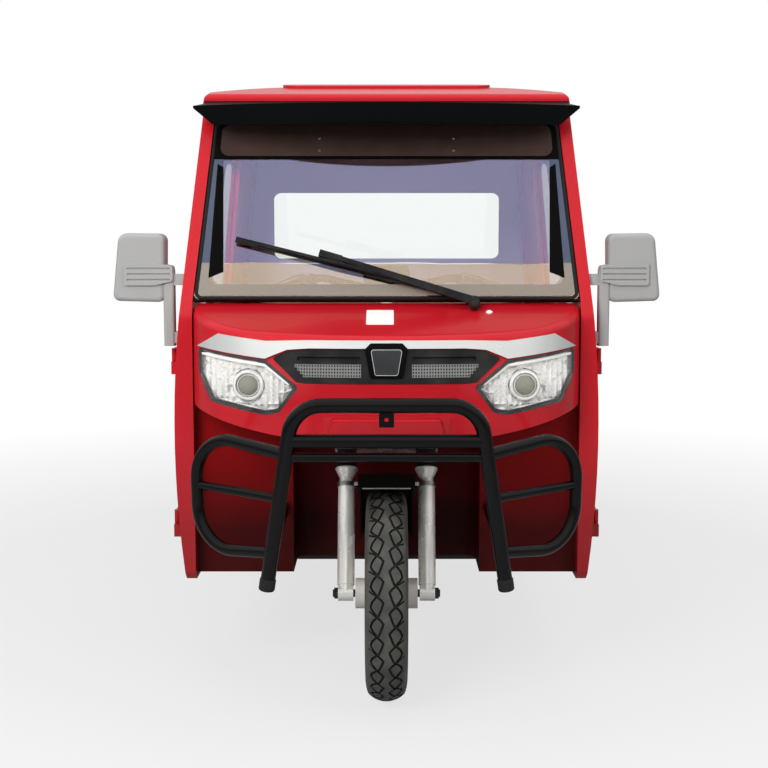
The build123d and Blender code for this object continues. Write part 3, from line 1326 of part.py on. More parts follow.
def wiper():
    """Parked wiper: pivot on the bonnet's rear edge, tapered arm, and blade lying on the glass."""
    glass = screen_plane(-SEAT_GAP)
    blade_left, blade_right = (-406.0, up_screen(SCREEN_BASE_Z + 156.0)), (
        163.0, up_screen(SCREEN_BASE_Z + 16.0),
    )
    elbow, pivot = (-150.0, up_screen(SCREEN_BASE_Z + 110.0)), (234.0, up_screen(SCREEN_BASE_Z - 10.0))

    def bar(start, end, width_start, width_end, low, high):
        direction = Vector(end[0] - start[0], end[1] - start[1]).normalized()
        side = Vector(-direction.Y, direction.X)
        points = [
            (start[0] + side.X * width_start, start[1] + side.Y * width_start),
            (end[0] + side.X * width_end, end[1] + side.Y * width_end),
            (end[0] - side.X * width_end, end[1] - side.Y * width_end),
            (start[0] - side.X * width_start, start[1] - side.Y * width_start),
        ]
        return glass * Pos(0, 0, low) * extrude(outline(points), amount=high - low)

    pieces = [
        bar(blade_left, blade_right, 4.0, 4.0, 0.0, 14.0),
        bar(blade_left, blade_right, 8.0, 8.0, 12.0, 18.0),
        bar(elbow, pivot, 6.0, 11.0, 22.0, 32.0),
        bar(
            (elbow[0] - 30.0, elbow[1] + 8.0), (elbow[0] + 30.0, elbow[1] - 10.0), 9.0, 9.0, 16.0, 30.0,
        ),
        glass * Pos(pivot[0], pivot[1], -10.0) * extrude(Circle(13.0), amount=44.0),
    ]
    cover = nose_body(SEAT_GAP)
    frame = screen_plane(GLASS + 60.0) * screen_band(SCREEN_BASE_Z - 60.0, SCREEN_TOP_Z, -40.0)
    return union(pieces) - cover - extrude(frame, amount=60.0 + GLASS + SEAT_GAP)


# Load bed


def bed_floor():
    """Flat floor behind the headboard, with folded cross bearers outside the rails."""
    front = BED_FRONT + GATE_PANEL + SEAT_GAP
    floor = block((-BED_HALF, BED_HALF), (front, BED_REAR), (BED_FLOOR_Z, BED_TOP_Z), 6.0)
    inner = RAIL_X + RAIL_WIDTH / 2 + 12.0
    for share in (0.06, 0.35, 0.78):
        a = front + share * (BED_REAR - front)
        bearer = block(
            (inner, BED_HALF - 12.0), (a - 20.0, a + 20.0), (BED_FLOOR_Z - BEARER, BED_FLOOR_Z + 1.0),
        )
        floor += bearer
        floor += mirror(bearer, about=Plane.YZ)
    return floor


def bed_headboard():
    """Fixed front wall of the bed, standing on the rails, with stiffening ribs."""
    z = BED_FLOOR_Z
    top = BED_TOP_Z + GATE_HEIGHT
    wall = block((-BED_HALF, BED_HALF), (BED_FRONT, BED_FRONT + GATE_PANEL), (z, top))
    for x in (-380.0, -130.0, 130.0, 380.0):
        wall += block(
            (x - 25.0, x + 25.0), (BED_FRONT - GATE_RIB, BED_FRONT + 1.0), (z + 30.0, top - 30.0),
        )
    return wall


GATE_Z = BED_FLOOR_Z + GATE_LIFT
GATE_HINGE_Z = BED_FLOOR_Z - GATE_HINGE_DROP


def gate(length, hinge_spots):
    """Drop gate along X at the origin: ribbed panel with hinge knuckles, inner face y = 0, outside +Y."""
    panel = Pos(0, GATE_PANEL / 2, GATE_HEIGHT / 2) * Box(length, GATE_PANEL, GATE_HEIGHT)
    rib_count = round(length / 260.0)
    for index in range(rib_count):
        x = (index + 0.5) * length / rib_count - length / 2
        panel += Pos(x, GATE_PANEL + GATE_RIB / 2 - 0.5, GATE_HEIGHT / 2) * Box(
            60.0, GATE_RIB + 1.0, GATE_HEIGHT - 90.0,
        )
    panel += Pos(0, GATE_PANEL + GATE_RIB / 2 - 0.5, GATE_HEIGHT - 14.0) * Box(
        length, GATE_RIB + 1.0, 28.0,
    )
    axis_y = GATE_AXIS_OUT
    axis_z = GATE_HINGE_Z - GATE_Z
    along = Plane.YZ
    for x in hinge_spots:
        barrel = extrude(Plane((x, axis_y, axis_z), z_dir=(1, 0, 0)) * Circle(HINGE_R), amount=KNUCKLE)
        strap = [
            (GATE_PANEL - 2.0, 60.0),
            (GATE_PANEL + 5.0, 60.0),
            (axis_y + HINGE_R - 1.0, axis_z + 2.0),
            (axis_y - HINGE_R + 1.0, axis_z),
        ]
        leaf = Pos(x, 0, 0) * extrude(along * outline(strap), amount=KNUCKLE)
        panel += barrel + leaf
        panel -= extrude(
            Plane((x - 1.0, axis_y, axis_z), z_dir=(1, 0, 0)) * Circle(HINGE_PIN_R + RUN_GAP),
            amount=KNUCKLE + 2.0,
        )
    return panel


def gate_hinge_mounts(hinge_spots):
    """Fixed knuckles and pins under the floor's edge for one gate, in the gate's own frame."""
    axis_y = GATE_AXIS_OUT
    axis_z = GATE_HINGE_Z - GATE_Z
    floor_edge = -GATE_CLEARANCE
    pieces = []
    for x in hinge_spots:
        start = x - KNUCKLE - SEAT_GAP
        pieces.append(
            extrude(Plane((start, axis_y, axis_z), z_dir=(1, 0, 0)) * Circle(HINGE_R), amount=KNUCKLE)
        )
        hinge_line = Plane((start, axis_y, axis_z), z_dir=(1, 0, 0))
        pieces.append(extrude(hinge_line * Circle(HINGE_PIN_R), amount=2 * KNUCKLE))
        top, low = BED_FLOOR_Z + 1.0 - GATE_Z, axis_z - HINGE_R
        strap = [(floor_edge - 16.0, top), (axis_y, top), (axis_y, low), (floor_edge - 16.0, low)]
        pieces.append(Pos(start, 0, 0) * extrude(Plane.YZ * outline(strap), amount=KNUCKLE))
    return pieces


SIDE_GATE_LENGTH = BED_REAR - BED_FRONT
TAILGATE_LENGTH = 2 * (BED_HALF + GATE_CLEARANCE + GATE_PANEL)
SIDE_HINGES = (-500.0, 0.0, 500.0)
TAIL_HINGES = (-320.0, 0.0, 320.0)
LEFT_GATE = Pos(BED_HALF + GATE_CLEARANCE, aft((BED_FRONT + BED_REAR) / 2), GATE_Z) * Rot(0, 0, -90)
TAIL_GATE = Pos(0, aft(BED_REAR + GATE_CLEARANCE), GATE_Z)


def rear_bumper():
    """Rear tube with drop plates from the rails and a towing plate with its pin hole."""
    a, z = BED_REAR - 45.0, HIGH_RAIL[0] - 90.0
    pieces = [rod((-470.0, a, z), (470.0, a, z), 21.0)]
    for side in (-1, 1):
        x = side * RAIL_X
        pieces.append(block((x - 6.0, x + 6.0), (a - 24.0, a + 24.0), (z, HIGH_RAIL[0] - SEAT_GAP)))
    pieces.append(
        block((-45.0, 45.0), (a, BED_REAR - 4.0 + 10.0), (z - 6.0, z + 6.0), [0, 0, 20.0, 20.0])
    )
    return union(pieces) - rod((0, BED_REAR - 14.0, z - 20.0), (0, BED_REAR - 14.0, z + 20.0), 9.0)


def tail_lamp():
    """Left tail lamp under the bed floor."""
    return block(
        (400.0, 540.0),
        (BED_REAR - 50.0, BED_REAR - 6.0),
        (BED_FLOOR_Z - 62.0, BED_FLOOR_Z - SEAT_GAP),
        8.0,
    )


def main():
    os.makedirs("parts", exist_ok=True)
    at_front = Pos(0, FRONT_AXLE_Y, AXLE_Z)
    save("front_tyre", at_front * tyre())
    save("front_rim", at_front * rim(HUB_HALF, FRONT_AXLE_R + RUN_GAP))
    save("front_fork", fork())
    save("front_axle", front_axle())
    save("front_mudguard", front_mudguard())
    save("handlebar", handlebar())

    at_left = Pos(REAR_TRACK / 2, REAR_AXLE_Y, AXLE_Z)
    for name, shape in (("tyre", at_left * tyre()), ("rim", at_left * rear_rim())):
        save(f"rear_left_{name}", shape)
        save(f"rear_right_{name}", mirror(shape, about=Plane.YZ))

    frame, door, door_glass = side_and_door()
    mirror_body, mirror_glass = mirror_unit()
    for name, shape in (
        ("side_frame", frame),
        ("door", door),
        ("door_glass", door_glass),
        ("mirror", mirror_body),
    ):
        save(f"left_{name}", shape)
        save(f"right_{name}", mirror(shape, about=Plane.YZ))
    save("mirror_glass", both(mirror_glass))

    screen_frame, screen_glass = windscreen()
    back_wall, back_glass = rear_wall()
    panel, bucket, lens, trim, grille, badge = nose_parts()
    side_mounts = [LEFT_GATE * piece for piece in gate_hinge_mounts(SIDE_HINGES)]
    tail_mounts = [TAIL_GATE * piece for piece in gate_hinge_mounts(TAIL_HINGES)]
    right_mounts = [mirror(piece, about=Plane.YZ) for piece in side_mounts]
    left_gate = LEFT_GATE * gate(SIDE_GATE_LENGTH, SIDE_HINGES)
    for name, shape in (
        ("windscreen_frame", screen_frame),
        ("windscreen", screen_glass),
        ("rear_wall", back_wall),
        ("rear_window", back_glass),
        ("front_bulkhead", bulkhead()),
        ("nose_panel", panel),
        ("headlamp_buckets", both(bucket)),
        ("headlamp_lenses", both(lens)),
        ("nose_trim_bar", trim),
        ("grille", grille),
        ("badge_plate", badge),
        ("roof", roof()),
        ("sun_visor", visor()),
        ("bull_bar", bull_bar()),
        ("chassis_frame", chassis()),
        ("leaf_springs", both(leaf_spring())),
        ("rear_axle", rear_axle()),
        ("drive_motor", drive_motor()),
        ("rear_mudguards", both(rear_mudguard())),
        ("cab_floor", cab_floor()),
        ("seat_base", seat_base()),
        ("battery_pack", battery_pack()),
        ("seat_cushion", seat_cushion()),
        ("seat_back", seat_back()),
        ("dashboard", dashboard()),
        ("foot_brake", foot_brake()),
        ("wiper", wiper()),
        ("bed_floor", union([bed_floor(), *side_mounts, *right_mounts, *tail_mounts])),
        ("bed_headboard", bed_headboard()),
        ("left_gate", left_gate),
        ("right_gate", mirror(left_gate, about=Plane.YZ)),
        ("tailgate", TAIL_GATE * gate(TAILGATE_LENGTH, TAIL_HINGES)),
        ("rear_bumper", rear_bumper()),
        ("tail_lamps", both(tail_lamp())),
    ):
        save(name, shape)


main()
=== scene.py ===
import json
import math

import bmesh
import bpy
from mathutils import Matrix, Vector
from mathutils.bvhtree import BVHTree
from mathutils.geometry import delaunay_2d_cdt


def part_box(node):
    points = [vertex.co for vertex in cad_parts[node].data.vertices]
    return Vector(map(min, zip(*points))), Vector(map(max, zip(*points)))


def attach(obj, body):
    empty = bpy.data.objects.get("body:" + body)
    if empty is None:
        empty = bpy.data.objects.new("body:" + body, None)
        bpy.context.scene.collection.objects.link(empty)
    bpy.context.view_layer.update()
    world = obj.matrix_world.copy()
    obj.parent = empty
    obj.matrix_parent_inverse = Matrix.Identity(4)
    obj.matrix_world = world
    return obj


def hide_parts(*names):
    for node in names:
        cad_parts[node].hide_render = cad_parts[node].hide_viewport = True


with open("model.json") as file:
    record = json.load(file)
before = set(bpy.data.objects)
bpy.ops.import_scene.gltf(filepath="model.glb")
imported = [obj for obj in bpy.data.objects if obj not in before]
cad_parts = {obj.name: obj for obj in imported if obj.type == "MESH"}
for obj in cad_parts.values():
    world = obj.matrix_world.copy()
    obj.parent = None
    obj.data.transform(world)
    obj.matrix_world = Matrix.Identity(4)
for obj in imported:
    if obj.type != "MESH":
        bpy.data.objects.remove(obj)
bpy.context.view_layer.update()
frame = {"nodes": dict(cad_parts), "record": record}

# Closed-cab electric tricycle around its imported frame.
# Shapes are drawn in millimetres as (x, aft, z): left of centre, behind the front axle, above the ground.

MM = 0.001
FRONT_AXLE_Y = -1307.5
WHEELBASE = 2150.0
AXLE_Z = 280.0
TYRE_R = 280.0
RAKE = math.radians(24.0)
FORK_OFFSET = 45.0
SCREEN_TILT = math.radians(18.16)
SCREEN_BASE = (130.0, 1050.0)  # aft and height of the windscreen's lower edge
SCREEN_OUT = Vector((0, -math.cos(SCREEN_TILT), math.sin(SCREEN_TILT)))
BONNET_UP = Vector((0, -0.277, 0.961))
AFT = Vector((0, 1, 0))

TO_FRAME = Matrix.Translation((0, FRONT_AXLE_Y * MM, 0)) @ Matrix.Scale(MM, 4)
FROM_FRAME = TO_FRAME.inverted()
# Lays (aft, z) outlines on a side wall, facing left.
ON_SIDE = Matrix(((0, 0, 1, 0), (1, 0, 0, 0), (0, 1, 0, 0), (0, 0, 0, 1)))
# The fork's own frame: across, behind the steering axis, and up along it from the axle.
STEER = (
    Matrix.Translation((0, 0, AXLE_Z))
    @ Matrix.Rotation(RAKE, 4, "X").inverted()
    @ Matrix.Translation((0, FORK_OFFSET, 0))
)
STEER_TURN = STEER.to_3x3()

# Wheel, its middle across and aft, and the side that its nuts face.
WHEELS = (("front", 0.0, 0.0, 1), ("rear_left", 480.0, WHEELBASE, 1), ("rear_right", -480.0, WHEELBASE, -1))


# Materials

DUST_TOP, DUST_FOOT = 620.0 * MM, 200.0 * MM  # road dust thickens downwards between these heights
SHADE_TOP, SHADE_FOOT = 680.0 * MM, 420.0 * MM  # painted shade darkens the cab's paint downwards between these heights
REFLECTION_SPLIT = 1147.0 * MM  # height at which the windscreen's painted reflection turns from bronze to violet
BRONZE_IOR, VIOLET_IOR = 3.6, 2.6  # far above glass: they stand in for a bright painted reflection, stronger where it is bronze


def linear(code):
    """Linear RGBA of an sRGB hex colour."""
    parts = [int(code[i:i + 2], 16) / 255.0 for i in (1, 3, 5)]
    return tuple(c / 12.92 if c <= 0.04045 else ((c + 0.055) / 1.055) ** 2.4 for c in parts) + (1.0,)


def join(tree, node, inputs):
    """Gives a node's inputs their values, or links where the value is another node's output."""
    for key, value in inputs.items():
        if isinstance(value, bpy.types.NodeSocket):
            tree.links.new(value, node.inputs[key])
        else:
            node.inputs[key].default_value = value


def add(tree, kind, inputs, out=0, **settings):
    """Adds one shader node with its settings and links, and gives one of its outputs."""
    made = tree.nodes.new("ShaderNode" + kind)
    for key, value in settings.items():
        setattr(made, key, value)
    join(tree, made, inputs)
    return made.outputs[out]


def surface(name, colour, **values):
    """A new material, its node tree, shader and place coordinates; values go on the shader's own sockets."""
    material = bpy.data.materials.new(name)
    material.use_nodes = True
    tree = material.node_tree
    shader = tree.nodes["Principled BSDF"]
    join(tree, shader, {"Base Color": linear(colour)})
    join(tree, shader, {key.replace("_", " "): value for key, value in values.items()})
    return material, tree, shader, add(tree, "TexCoord", {}, "Object")


def enamel(name, colour, gloss, coat, shine, dust, chips=0.0, foot=None):
    """Sprayed and baked enamel: wet gloss, faint orange peel, dust low down, scratches where loads rub, and
    painted shade towards the sills where a foot colour is given.
    """
    values = {"Coat_Weight": coat, "Coat_Roughness": 0.08, "Specular_IOR_Level": shine}
    material, tree, shader, place = surface(name, colour, **values)
    height = add(tree, "SeparateXYZ", {0: place}, "Z")
    low = add(tree, "MapRange", {0: height, 1: DUST_TOP, 2: DUST_FOOT, 3: 0.0, 4: dust})
    clouds = add(tree, "TexNoise", {"Vector": place, "Scale": 1.0 / (90.0 * MM), "Detail": 5.0})
    patchy = add(tree, "MapRange", {0: clouds, 1: 0.35, 2: 0.7})
    dusty = add(tree, "Math", {0: low, 1: patchy}, operation="MULTIPLY")
    # Spraying leaves bands of slightly thicker colour about 160 mm wide.
    bands = add(tree, "TexNoise", {"Vector": place, "Scale": 1.0 / (160.0 * MM)})
    thin = tuple(0.9 * c for c in linear(colour)[:3]) + (1.0,)
    paint = add(tree, "Mix", {"Factor": bands, 6: linear(colour), 7: thin}, 2, data_type="RGBA")
    if foot:
        # Painted shade darkens the paint from the bumper's height down to the sills.
        film = add(tree, "MapRange", {0: height, 1: SHADE_TOP, 2: SHADE_FOOT})
        paint = add(tree, "Mix", {"Factor": film, 6: paint, 7: linear(foot)}, 2, data_type="RGBA")
    paint = add(tree, "Mix", {"Factor": dusty, 6: paint, 7: linear("#8a7666")}, 2, data_type="RGBA")
    rough = add(tree, "MapRange", {0: dusty, 1: 0.0, 2: 0.5, 3: gloss, 4: 0.6})
    if chips:
        # Scratches along the load bed, about 8 mm apart and a hand long, down to grey primer.
        long_place = add(tree, "Mapping", {"Vector": place, "Scale": (1.0, 0.06, 1.0)})
        streaks = add(tree, "TexNoise", {"Vector": long_place, "Scale": 1.0 / (8.0 * MM), "Detail": 4.0})
        bare = add(tree, "MapRange", {0: streaks, 1: 0.62, 2: 0.68, 3: 0.0, 4: chips})
        paint = add(tree, "Mix", {"Factor": bare, 6: paint, 7: linear("#6b6a68")}, 2, data_type="RGBA")
    # Real orange peel is about 3 mm between crests; it is drawn at 6 mm so that it shows.
    peel = add(tree, "TexNoise", {"Vector": place, "Scale": 1.0 / (6.0 * MM), "Detail": 1.0})
    normal = add(tree, "Bump", {"Height": peel, "Distance": 0.04 * MM, "Strength": 0.35})
    join(tree, shader, {"Base Color": paint, "Roughness": rough, "Normal": normal})
    return material


def moulded(name, colour, roughness, grain_mm, dust=0.08, shine=0.3):
    """Injection-moulded plastic: a pebbled grain that breaks up the highlight, with dust held in it.

    A real grain is about 0.5 mm; it is drawn two or more times as coarse so that it shows.
    """
    material, tree, shader, place = surface(name, colour, Specular_IOR_Level=shine)
    grain = add(tree, "TexVoronoi", {"Vector": place, "Scale": 1.0 / (grain_mm * MM)}, "Distance")
    clouds = add(tree, "TexNoise", {"Vector": place, "Scale": 1.0 / (70.0 * MM), "Detail": 4.0})
    dusty = add(tree, "MapRange", {0: clouds, 1: 0.4, 2: 0.75, 3: 0.0, 4: dust})
    tone = add(tree, "Mix", {"Factor": dusty, 6: linear(colour), 7: linear("#8c877f")}, 2, data_type="RGBA")
    rough = add(tree, "MapRange", {0: grain, 1: 0.0, 2: 0.8, 3: roughness - 0.06, 4: roughness + 0.12})
    normal = add(tree, "Bump", {"Height": grain, "Distance": 0.12 * MM, "Strength": 0.5})
    join(tree, shader, {"Base Color": tone, "Roughness": rough, "Normal": normal})
    return material


def metal(name, colour, roughness, grit_mm, depth_mm, metallic=1.0, stain="#5b4636", stained=0.15):
    """Cast, plated or metal-painted surface: grit from its making, and tarnish in patches a thumb wide."""
    material, tree, shader, place = surface(name, colour, Metallic=metallic)
    clouds = add(tree, "TexNoise", {"Vector": place, "Scale": 1.0 / (45.0 * MM), "Detail": 6.0})
    patch = add(tree, "MapRange", {0: clouds, 1: 0.45, 2: 0.8, 3: 0.0, 4: stained})
    tone = add(tree, "Mix", {"Factor": patch, 6: linear(colour), 7: linear(stain)}, 2, data_type="RGBA")
    grit = add(tree, "TexNoise", {"Vector": place, "Scale": 1.0 / (grit_mm * MM), "Detail": 3.0})
    rough = add(tree, "MapRange", {0: grit, 1: 0.3, 2: 0.7, 3: roughness - 0.05, 4: roughness + 0.14})
    normal = add(tree, "Bump", {"Height": grit, "Distance": depth_mm * MM, "Strength": 0.6})
    join(tree, shader, {"Base Color": tone, "Roughness": rough, "Normal": normal})
    return material


def lets_lamps_through(tree, shader):
    """Thin glass: light from the lamps passes straight on instead of being stopped."""
    lamp_ray = add(tree, "LightPath", {}, "Is Shadow Ray")
    clear = add(tree, "BsdfTransparent", {})
    both = add(tree, "MixShader", {0: lamp_ray, 1: shader.outputs[0], 2: clear})
    join(tree, tree.nodes["Material Output"], {"Surface": both})


def painted_reflection_glass():
    """Laminated glass with a painted reflection: tinted violet above and bronze along the foot, and stronger
    along the foot.
    """
    material, tree, shader, place = surface(
        "laminated_glass_painted_reflection", "#ffffff", Transmission_Weight=1.0, Roughness=0.0
    )
    height = add(tree, "SeparateXYZ", {0: place}, "Z")
    clouds = add(tree, "TexNoise", {"Vector": place, "Scale": 1.0 / (220.0 * MM)})
    ripple = add(tree, "MapRange", {0: clouds, 1: 0.3, 2: 0.7, 3: -0.004, 4: 0.004})
    level = add(tree, "Math", {0: height, 1: ripple}, operation="ADD")
    share = add(tree, "MapRange", {0: level, 1: REFLECTION_SPLIT - 0.5 * MM, 2: REFLECTION_SPLIT + 0.5 * MM})
    # Painted reflection: its tint and strength change with height, along a slightly wavy line.
    tints = {"Factor": share, 6: linear("#ffe0c4"), 7: linear("#c2c6fa")}
    reflection_tint = add(tree, "Mix", tints, 2, data_type="RGBA")
    reflection_strength = add(tree, "MapRange", {0: share, 3: BRONZE_IOR, 4: VIOLET_IOR})
    join(tree, shader, {"Specular Tint": reflection_tint, "IOR": reflection_strength})
    lets_lamps_through(tree, shader)
    return material


def float_glass():
    """Toughened float glass: clear and faintly green, with a wiped smear that softens it in places."""
    material, tree, shader, place = surface(
        "toughened_float_glass", "#f2f7f4", Transmission_Weight=1.0, IOR=1.45
    )
    clouds = add(tree, "TexNoise", {"Vector": place, "Scale": 1.0 / (120.0 * MM), "Detail": 5.0})
    smear = add(tree, "MapRange", {0: clouds, 1: 0.5, 2: 0.8, 3: 0.0, 4: 0.03})
    join(tree, shader, {"Roughness": smear})
    lets_lamps_through(tree, shader)
    return material


def fluted_lens(name, colour, transmission, flute_mm):
    """Moulded polycarbonate lens: clear and glossy, with shallow flutes that scatter the light."""
    material, tree, shader, place = surface(
        name, colour, Transmission_Weight=transmission, Roughness=0.03, IOR=1.3
    )
    inputs = {"Vector": place, "Scale": math.pi / (10.0 * flute_mm * MM)}
    flutes = add(tree, "TexWave", inputs, "Fac", bands_direction="X", wave_profile="SIN")
    normal = add(tree, "Bump", {"Height": flutes, "Distance": 0.1 * MM, "Strength": 0.25})
    join(tree, shader, {"Normal": normal})
    if transmission > 0.9:
        lets_lamps_through(tree, shader)
    return material


def tyre_rubber(name, dark, bloom):
    """Vulcanised rubber: grey-black and matt, with a pale bloom and the fine roughness of its mould."""
    material, tree, shader, place = surface(name, dark)
    clouds = add(tree, "TexNoise", {"Vector": place, "Scale": 1.0 / (40.0 * MM), "Detail": 6.0})
    share = add(tree, "MapRange", {0: clouds, 1: 0.35, 2: 0.75})
    tone = add(tree, "Mix", {"Factor": share, 6: linear(dark), 7: linear(bloom)}, 2, data_type="RGBA")
    rough = add(tree, "MapRange", {0: share, 1: 0.0, 2: 1.0, 3: 0.6, 4: 0.85})
    # The mould's sparked skin is about 0.3 mm; it is drawn at 1.6 mm so that it shows.
    mould = add(tree, "TexNoise", {"Vector": place, "Scale": 1.0 / (1.6 * MM)})
    normal = add(tree, "Bump", {"Height": mould, "Distance": 0.15 * MM, "Strength": 0.5})
    join(tree, shader, {"Base Color": tone, "Roughness": rough, "Normal": normal})
    return material


def seat_vinyl():
    """Embossed upholstery vinyl over foam: a leather grain of about 2 mm, worn paler where people sit."""
    material, tree, shader, place = surface("embossed_upholstery_vinyl", "#b08a6c", Sheen_Weight=0.15)
    cells = add(tree, "TexVoronoi", {"Vector": place, "Scale": 1.0 / (2.2 * MM)}, feature="DISTANCE_TO_EDGE")
    creases = add(tree, "MapRange", {0: cells, 1: 0.0, 2: 0.12})
    clouds = add(tree, "TexNoise", {"Vector": place, "Scale": 1.0 / (180.0 * MM), "Detail": 3.0})
    worn = add(tree, "MapRange", {0: clouds, 1: 0.4, 2: 0.7})
    top = add(tree, "Mix", {"Factor": worn, 6: linear("#b8926f"), 7: linear("#d2b094")}, 2, data_type="RGBA")
    tone = add(tree, "Mix", {"Factor": creases, 6: linear("#86664d"), 7: top}, 2, data_type="RGBA")
    rough = add(tree, "MapRange", {0: worn, 1: 0.0, 2: 1.0, 3: 0.52, 4: 0.38})
    normal = add(tree, "Bump", {"Height": creases, "Distance": 0.25 * MM, "Strength": 0.6})
    join(tree, shader, {"Base Color": tone, "Roughness": rough, "Normal": normal})
    return material


def edge_band_painted_reflection():
    """Band along the pane's edge with a painted reflection: slate beside the violet reflection, grey beside
    the bronze one.
    """
    material, tree, shader, place = surface("pane_edge_painted_reflection", "#414a62", Roughness=0.35)
    height = add(tree, "SeparateXYZ", {0: place}, "Z")
    dots = add(tree, "TexNoise", {"Vector": place, "Scale": 1.0 / (12.0 * MM), "Detail": 4.0})
    share = add(tree, "MapRange", {0: height, 1: REFLECTION_SPLIT - 1.0 * MM, 2: REFLECTION_SPLIT + 3.0 * MM})
    tints = {"Factor": share, 6: linear("#8a8378"), 7: linear("#414a62")}
    tone = add(tree, "Mix", tints, 2, data_type="RGBA")
    uneven = add(tree, "MapRange", {0: dots, 1: 0.3, 2: 0.7, 3: 0.0, 4: 0.12})
    tone = add(tree, "Mix", {"Factor": uneven, 6: tone, 7: linear("#6c6a6a")}, 2, data_type="RGBA")
    join(tree, shader, {"Base Color": tone})
    return material


def label_paper():
    """Coated label paper: matt white, slightly uneven from its fibres."""
    material, tree, shader, place = surface("coated_label_paper", "#f1f1ef", Roughness=0.65)
    fibres = add(tree, "TexNoise", {"Vector": place, "Scale": 1.0 / (3.0 * MM), "Detail": 4.0})
    tints = {"Factor": fibres, 6: linear("#e8e8e6"), 7: linear("#f8f8f7")}
    tone = add(tree, "Mix", tints, 2, data_type="RGBA")
    join(tree, shader, {"Base Color": tone})
    return material


# Enamels: name, colour, roughness, clear coat, specular level, dust, scratches, painted shade colour at the
# foot.
# Cab panels: a wet red that dulls with dust and darkens towards the sills with painted shade.
RED = enamel("sprayed_red_enamel", "#c01824", 0.3, 0.2, 0.25, 0.06, 0.0, "#98111a")
# Lower apron: the cab's red painted darker and duller as shade, darkest towards the foot.
SHADED_RED = enamel("red_enamel_painted_shade", "#8c0a0d", 0.5, 0.0, 0.12, 0.02, 0.0, "#3c0406")
# Bed floor: the cab's red, dusty and scratched to primer.
BED_RED = enamel("scratched_red_enamel", "#c01824", 0.36, 0.2, 0.3, 0.2, 0.8)
# Bull bar: deep black with a soft, narrow highlight.
BLACK_GLOSS = enamel("powder_coated_black_tube", "#050506", 0.26, 0.06, 0.2, 0.01)
# Sun visor and display: near-black with hardly a sheen.
VISOR_ABS = enamel("lacquered_black_abs", "#040506", 0.3, 0.0, 0.12, 0.0)

# Metals and their paints: name, colour, roughness, grit and its depth in mm, metallic, stain, its share.
# Frame and axle: uneven grey-black with brown patches.
BLACK_CHASSIS = metal("brushed_on_black_chassis_paint", "#17181a", 0.5, 5.0, 0.15, 0.0, "#4a4038", 0.35)
# Rims: pale grey with a low lustre.
SILVER = metal("sprayed_aluminium_paint", "#d9d6d0", 0.34, 3.0, 0.02, 0.2, "#b0a99f", 0.15)
# Fork legs: smooth, bright and a little warm.
FORK_ALLOY = metal("polished_fork_alloy", "#f6f4ef", 0.22, 80.0, 0.004, 0.45, "#d8d3ca", 0.1)
# Trim bar: an even silver-white that mirrors softly.
TRIM_ABS = metal("vacuum_silvered_abs", "#dfe0dd", 0.32, 40.0, 0.002, 0.5, "#d2d3d0", 0.1)
# Mirror faces: a clear reflection, faintly rippled.
MIRROR = metal("silvered_mirror_glass", "#e9ebec", 0.06, 30.0, 0.01, 1.0, "#d5d7d8", 0.1)
# Motor and levers: a grey, sandy skin.
ALLOY = metal("sand_cast_aluminium", "#a2a3a4", 0.45, 1.6, 0.25)
# Springs and axle: brown-black with rust in patches.
STEEL = metal("oil_blacked_spring_steel", "#3b3936", 0.55, 2.5, 0.2, 0.7, "#6a4630", 0.4)
# Fasteners and latches: a cold grey shine going yellow.
ZINC = metal("zinc_plated_steel", "#b9bab6", 0.35, 2.0, 0.08, 1.0, "#8c8064", 0.3)
# Lamp reflectors: bright facets with soft glints.
CHROME = metal("vacuum_metallised_reflector", "#ecebe8", 0.26, 12.0, 0.02, 0.4, "#dddcd8", 0.15)
# Grille strips: a mid grey that stands out from the black behind.
MESH_METAL = metal("stamped_mesh_paint", "#8d8e8c", 0.4, 2.0, 0.05, 0.6)

# Mouldings and boards: name, colour, roughness, grain in millimetres, dust, specular level.
# Grille, wiper and knobs: soft black.
BLACK_ABS = moulded("grained_black_abs", "#0d0e10", 0.42, 1.2)
# Mirror shells: a flat mid grey.
GREY_ABS = moulded("grained_grey_abs", "#a2a2a1", 0.5, 1.4)
# Dashboard and lamp frames: charcoal with a broad sheen.
DARK_ABS = moulded("grained_charcoal_abs", "#2c2d2f", 0.45, 1.2)
# Cushion's edge: brown and slightly shiny.
PIPING = moulded("extruded_vinyl_piping", "#5d4636", 0.5, 2.0, 0.1)
# Battery box: blue-black.
BATTERY = moulded("moulded_battery_polypropylene", "#23272d", 0.4, 1.6)
# Light guides and washer jet: milky white.
OPAL = moulded("moulded_opal_acrylic", "#f4f3ee", 0.3, 3.0, 0.0)
# Rear wall and door cards: a dull lilac grey.
LINING = moulded("pressed_lining_board", "#b9b6cf", 0.75, 2.5, 0.1)
# Board over the windscreen: dark brown and dull.
BROWN_BOARD = moulded("pressed_brown_hardboard", "#3c2b26", 0.6, 3.0, 0.05)
# Header, badge and grille backing: black with no depth to it.
BLACK_FILM = moulded("matt_black_vinyl_film", "#030303", 0.6, 2.0, 0.0, 0.12)
# Front mudguard: a dull, warm black.
GUARD_PP = moulded("moulded_black_polypropylene", "#070606", 0.55, 1.2, 0.0, 0.15)

# Lenses: name, colour, transmission, flute in millimetres.
LENS = fluted_lens("clear_moulded_polycarbonate", "#ffffff", 1.0, 14.0)
RED_LENS = fluted_lens("red_moulded_polycarbonate", "#c3121c", 0.45, 6.0)
AMBER_LENS = fluted_lens("amber_moulded_polycarbonate", "#e07a12", 0.45, 6.0)
BULGE = fluted_lens("pressed_projector_glass", "#e9ead2", 0.75, 60.0)

# Rubbers: name, colour, bloom.
RUBBER = tyre_rubber("vulcanised_tyre_rubber", "#393a38", "#575650")
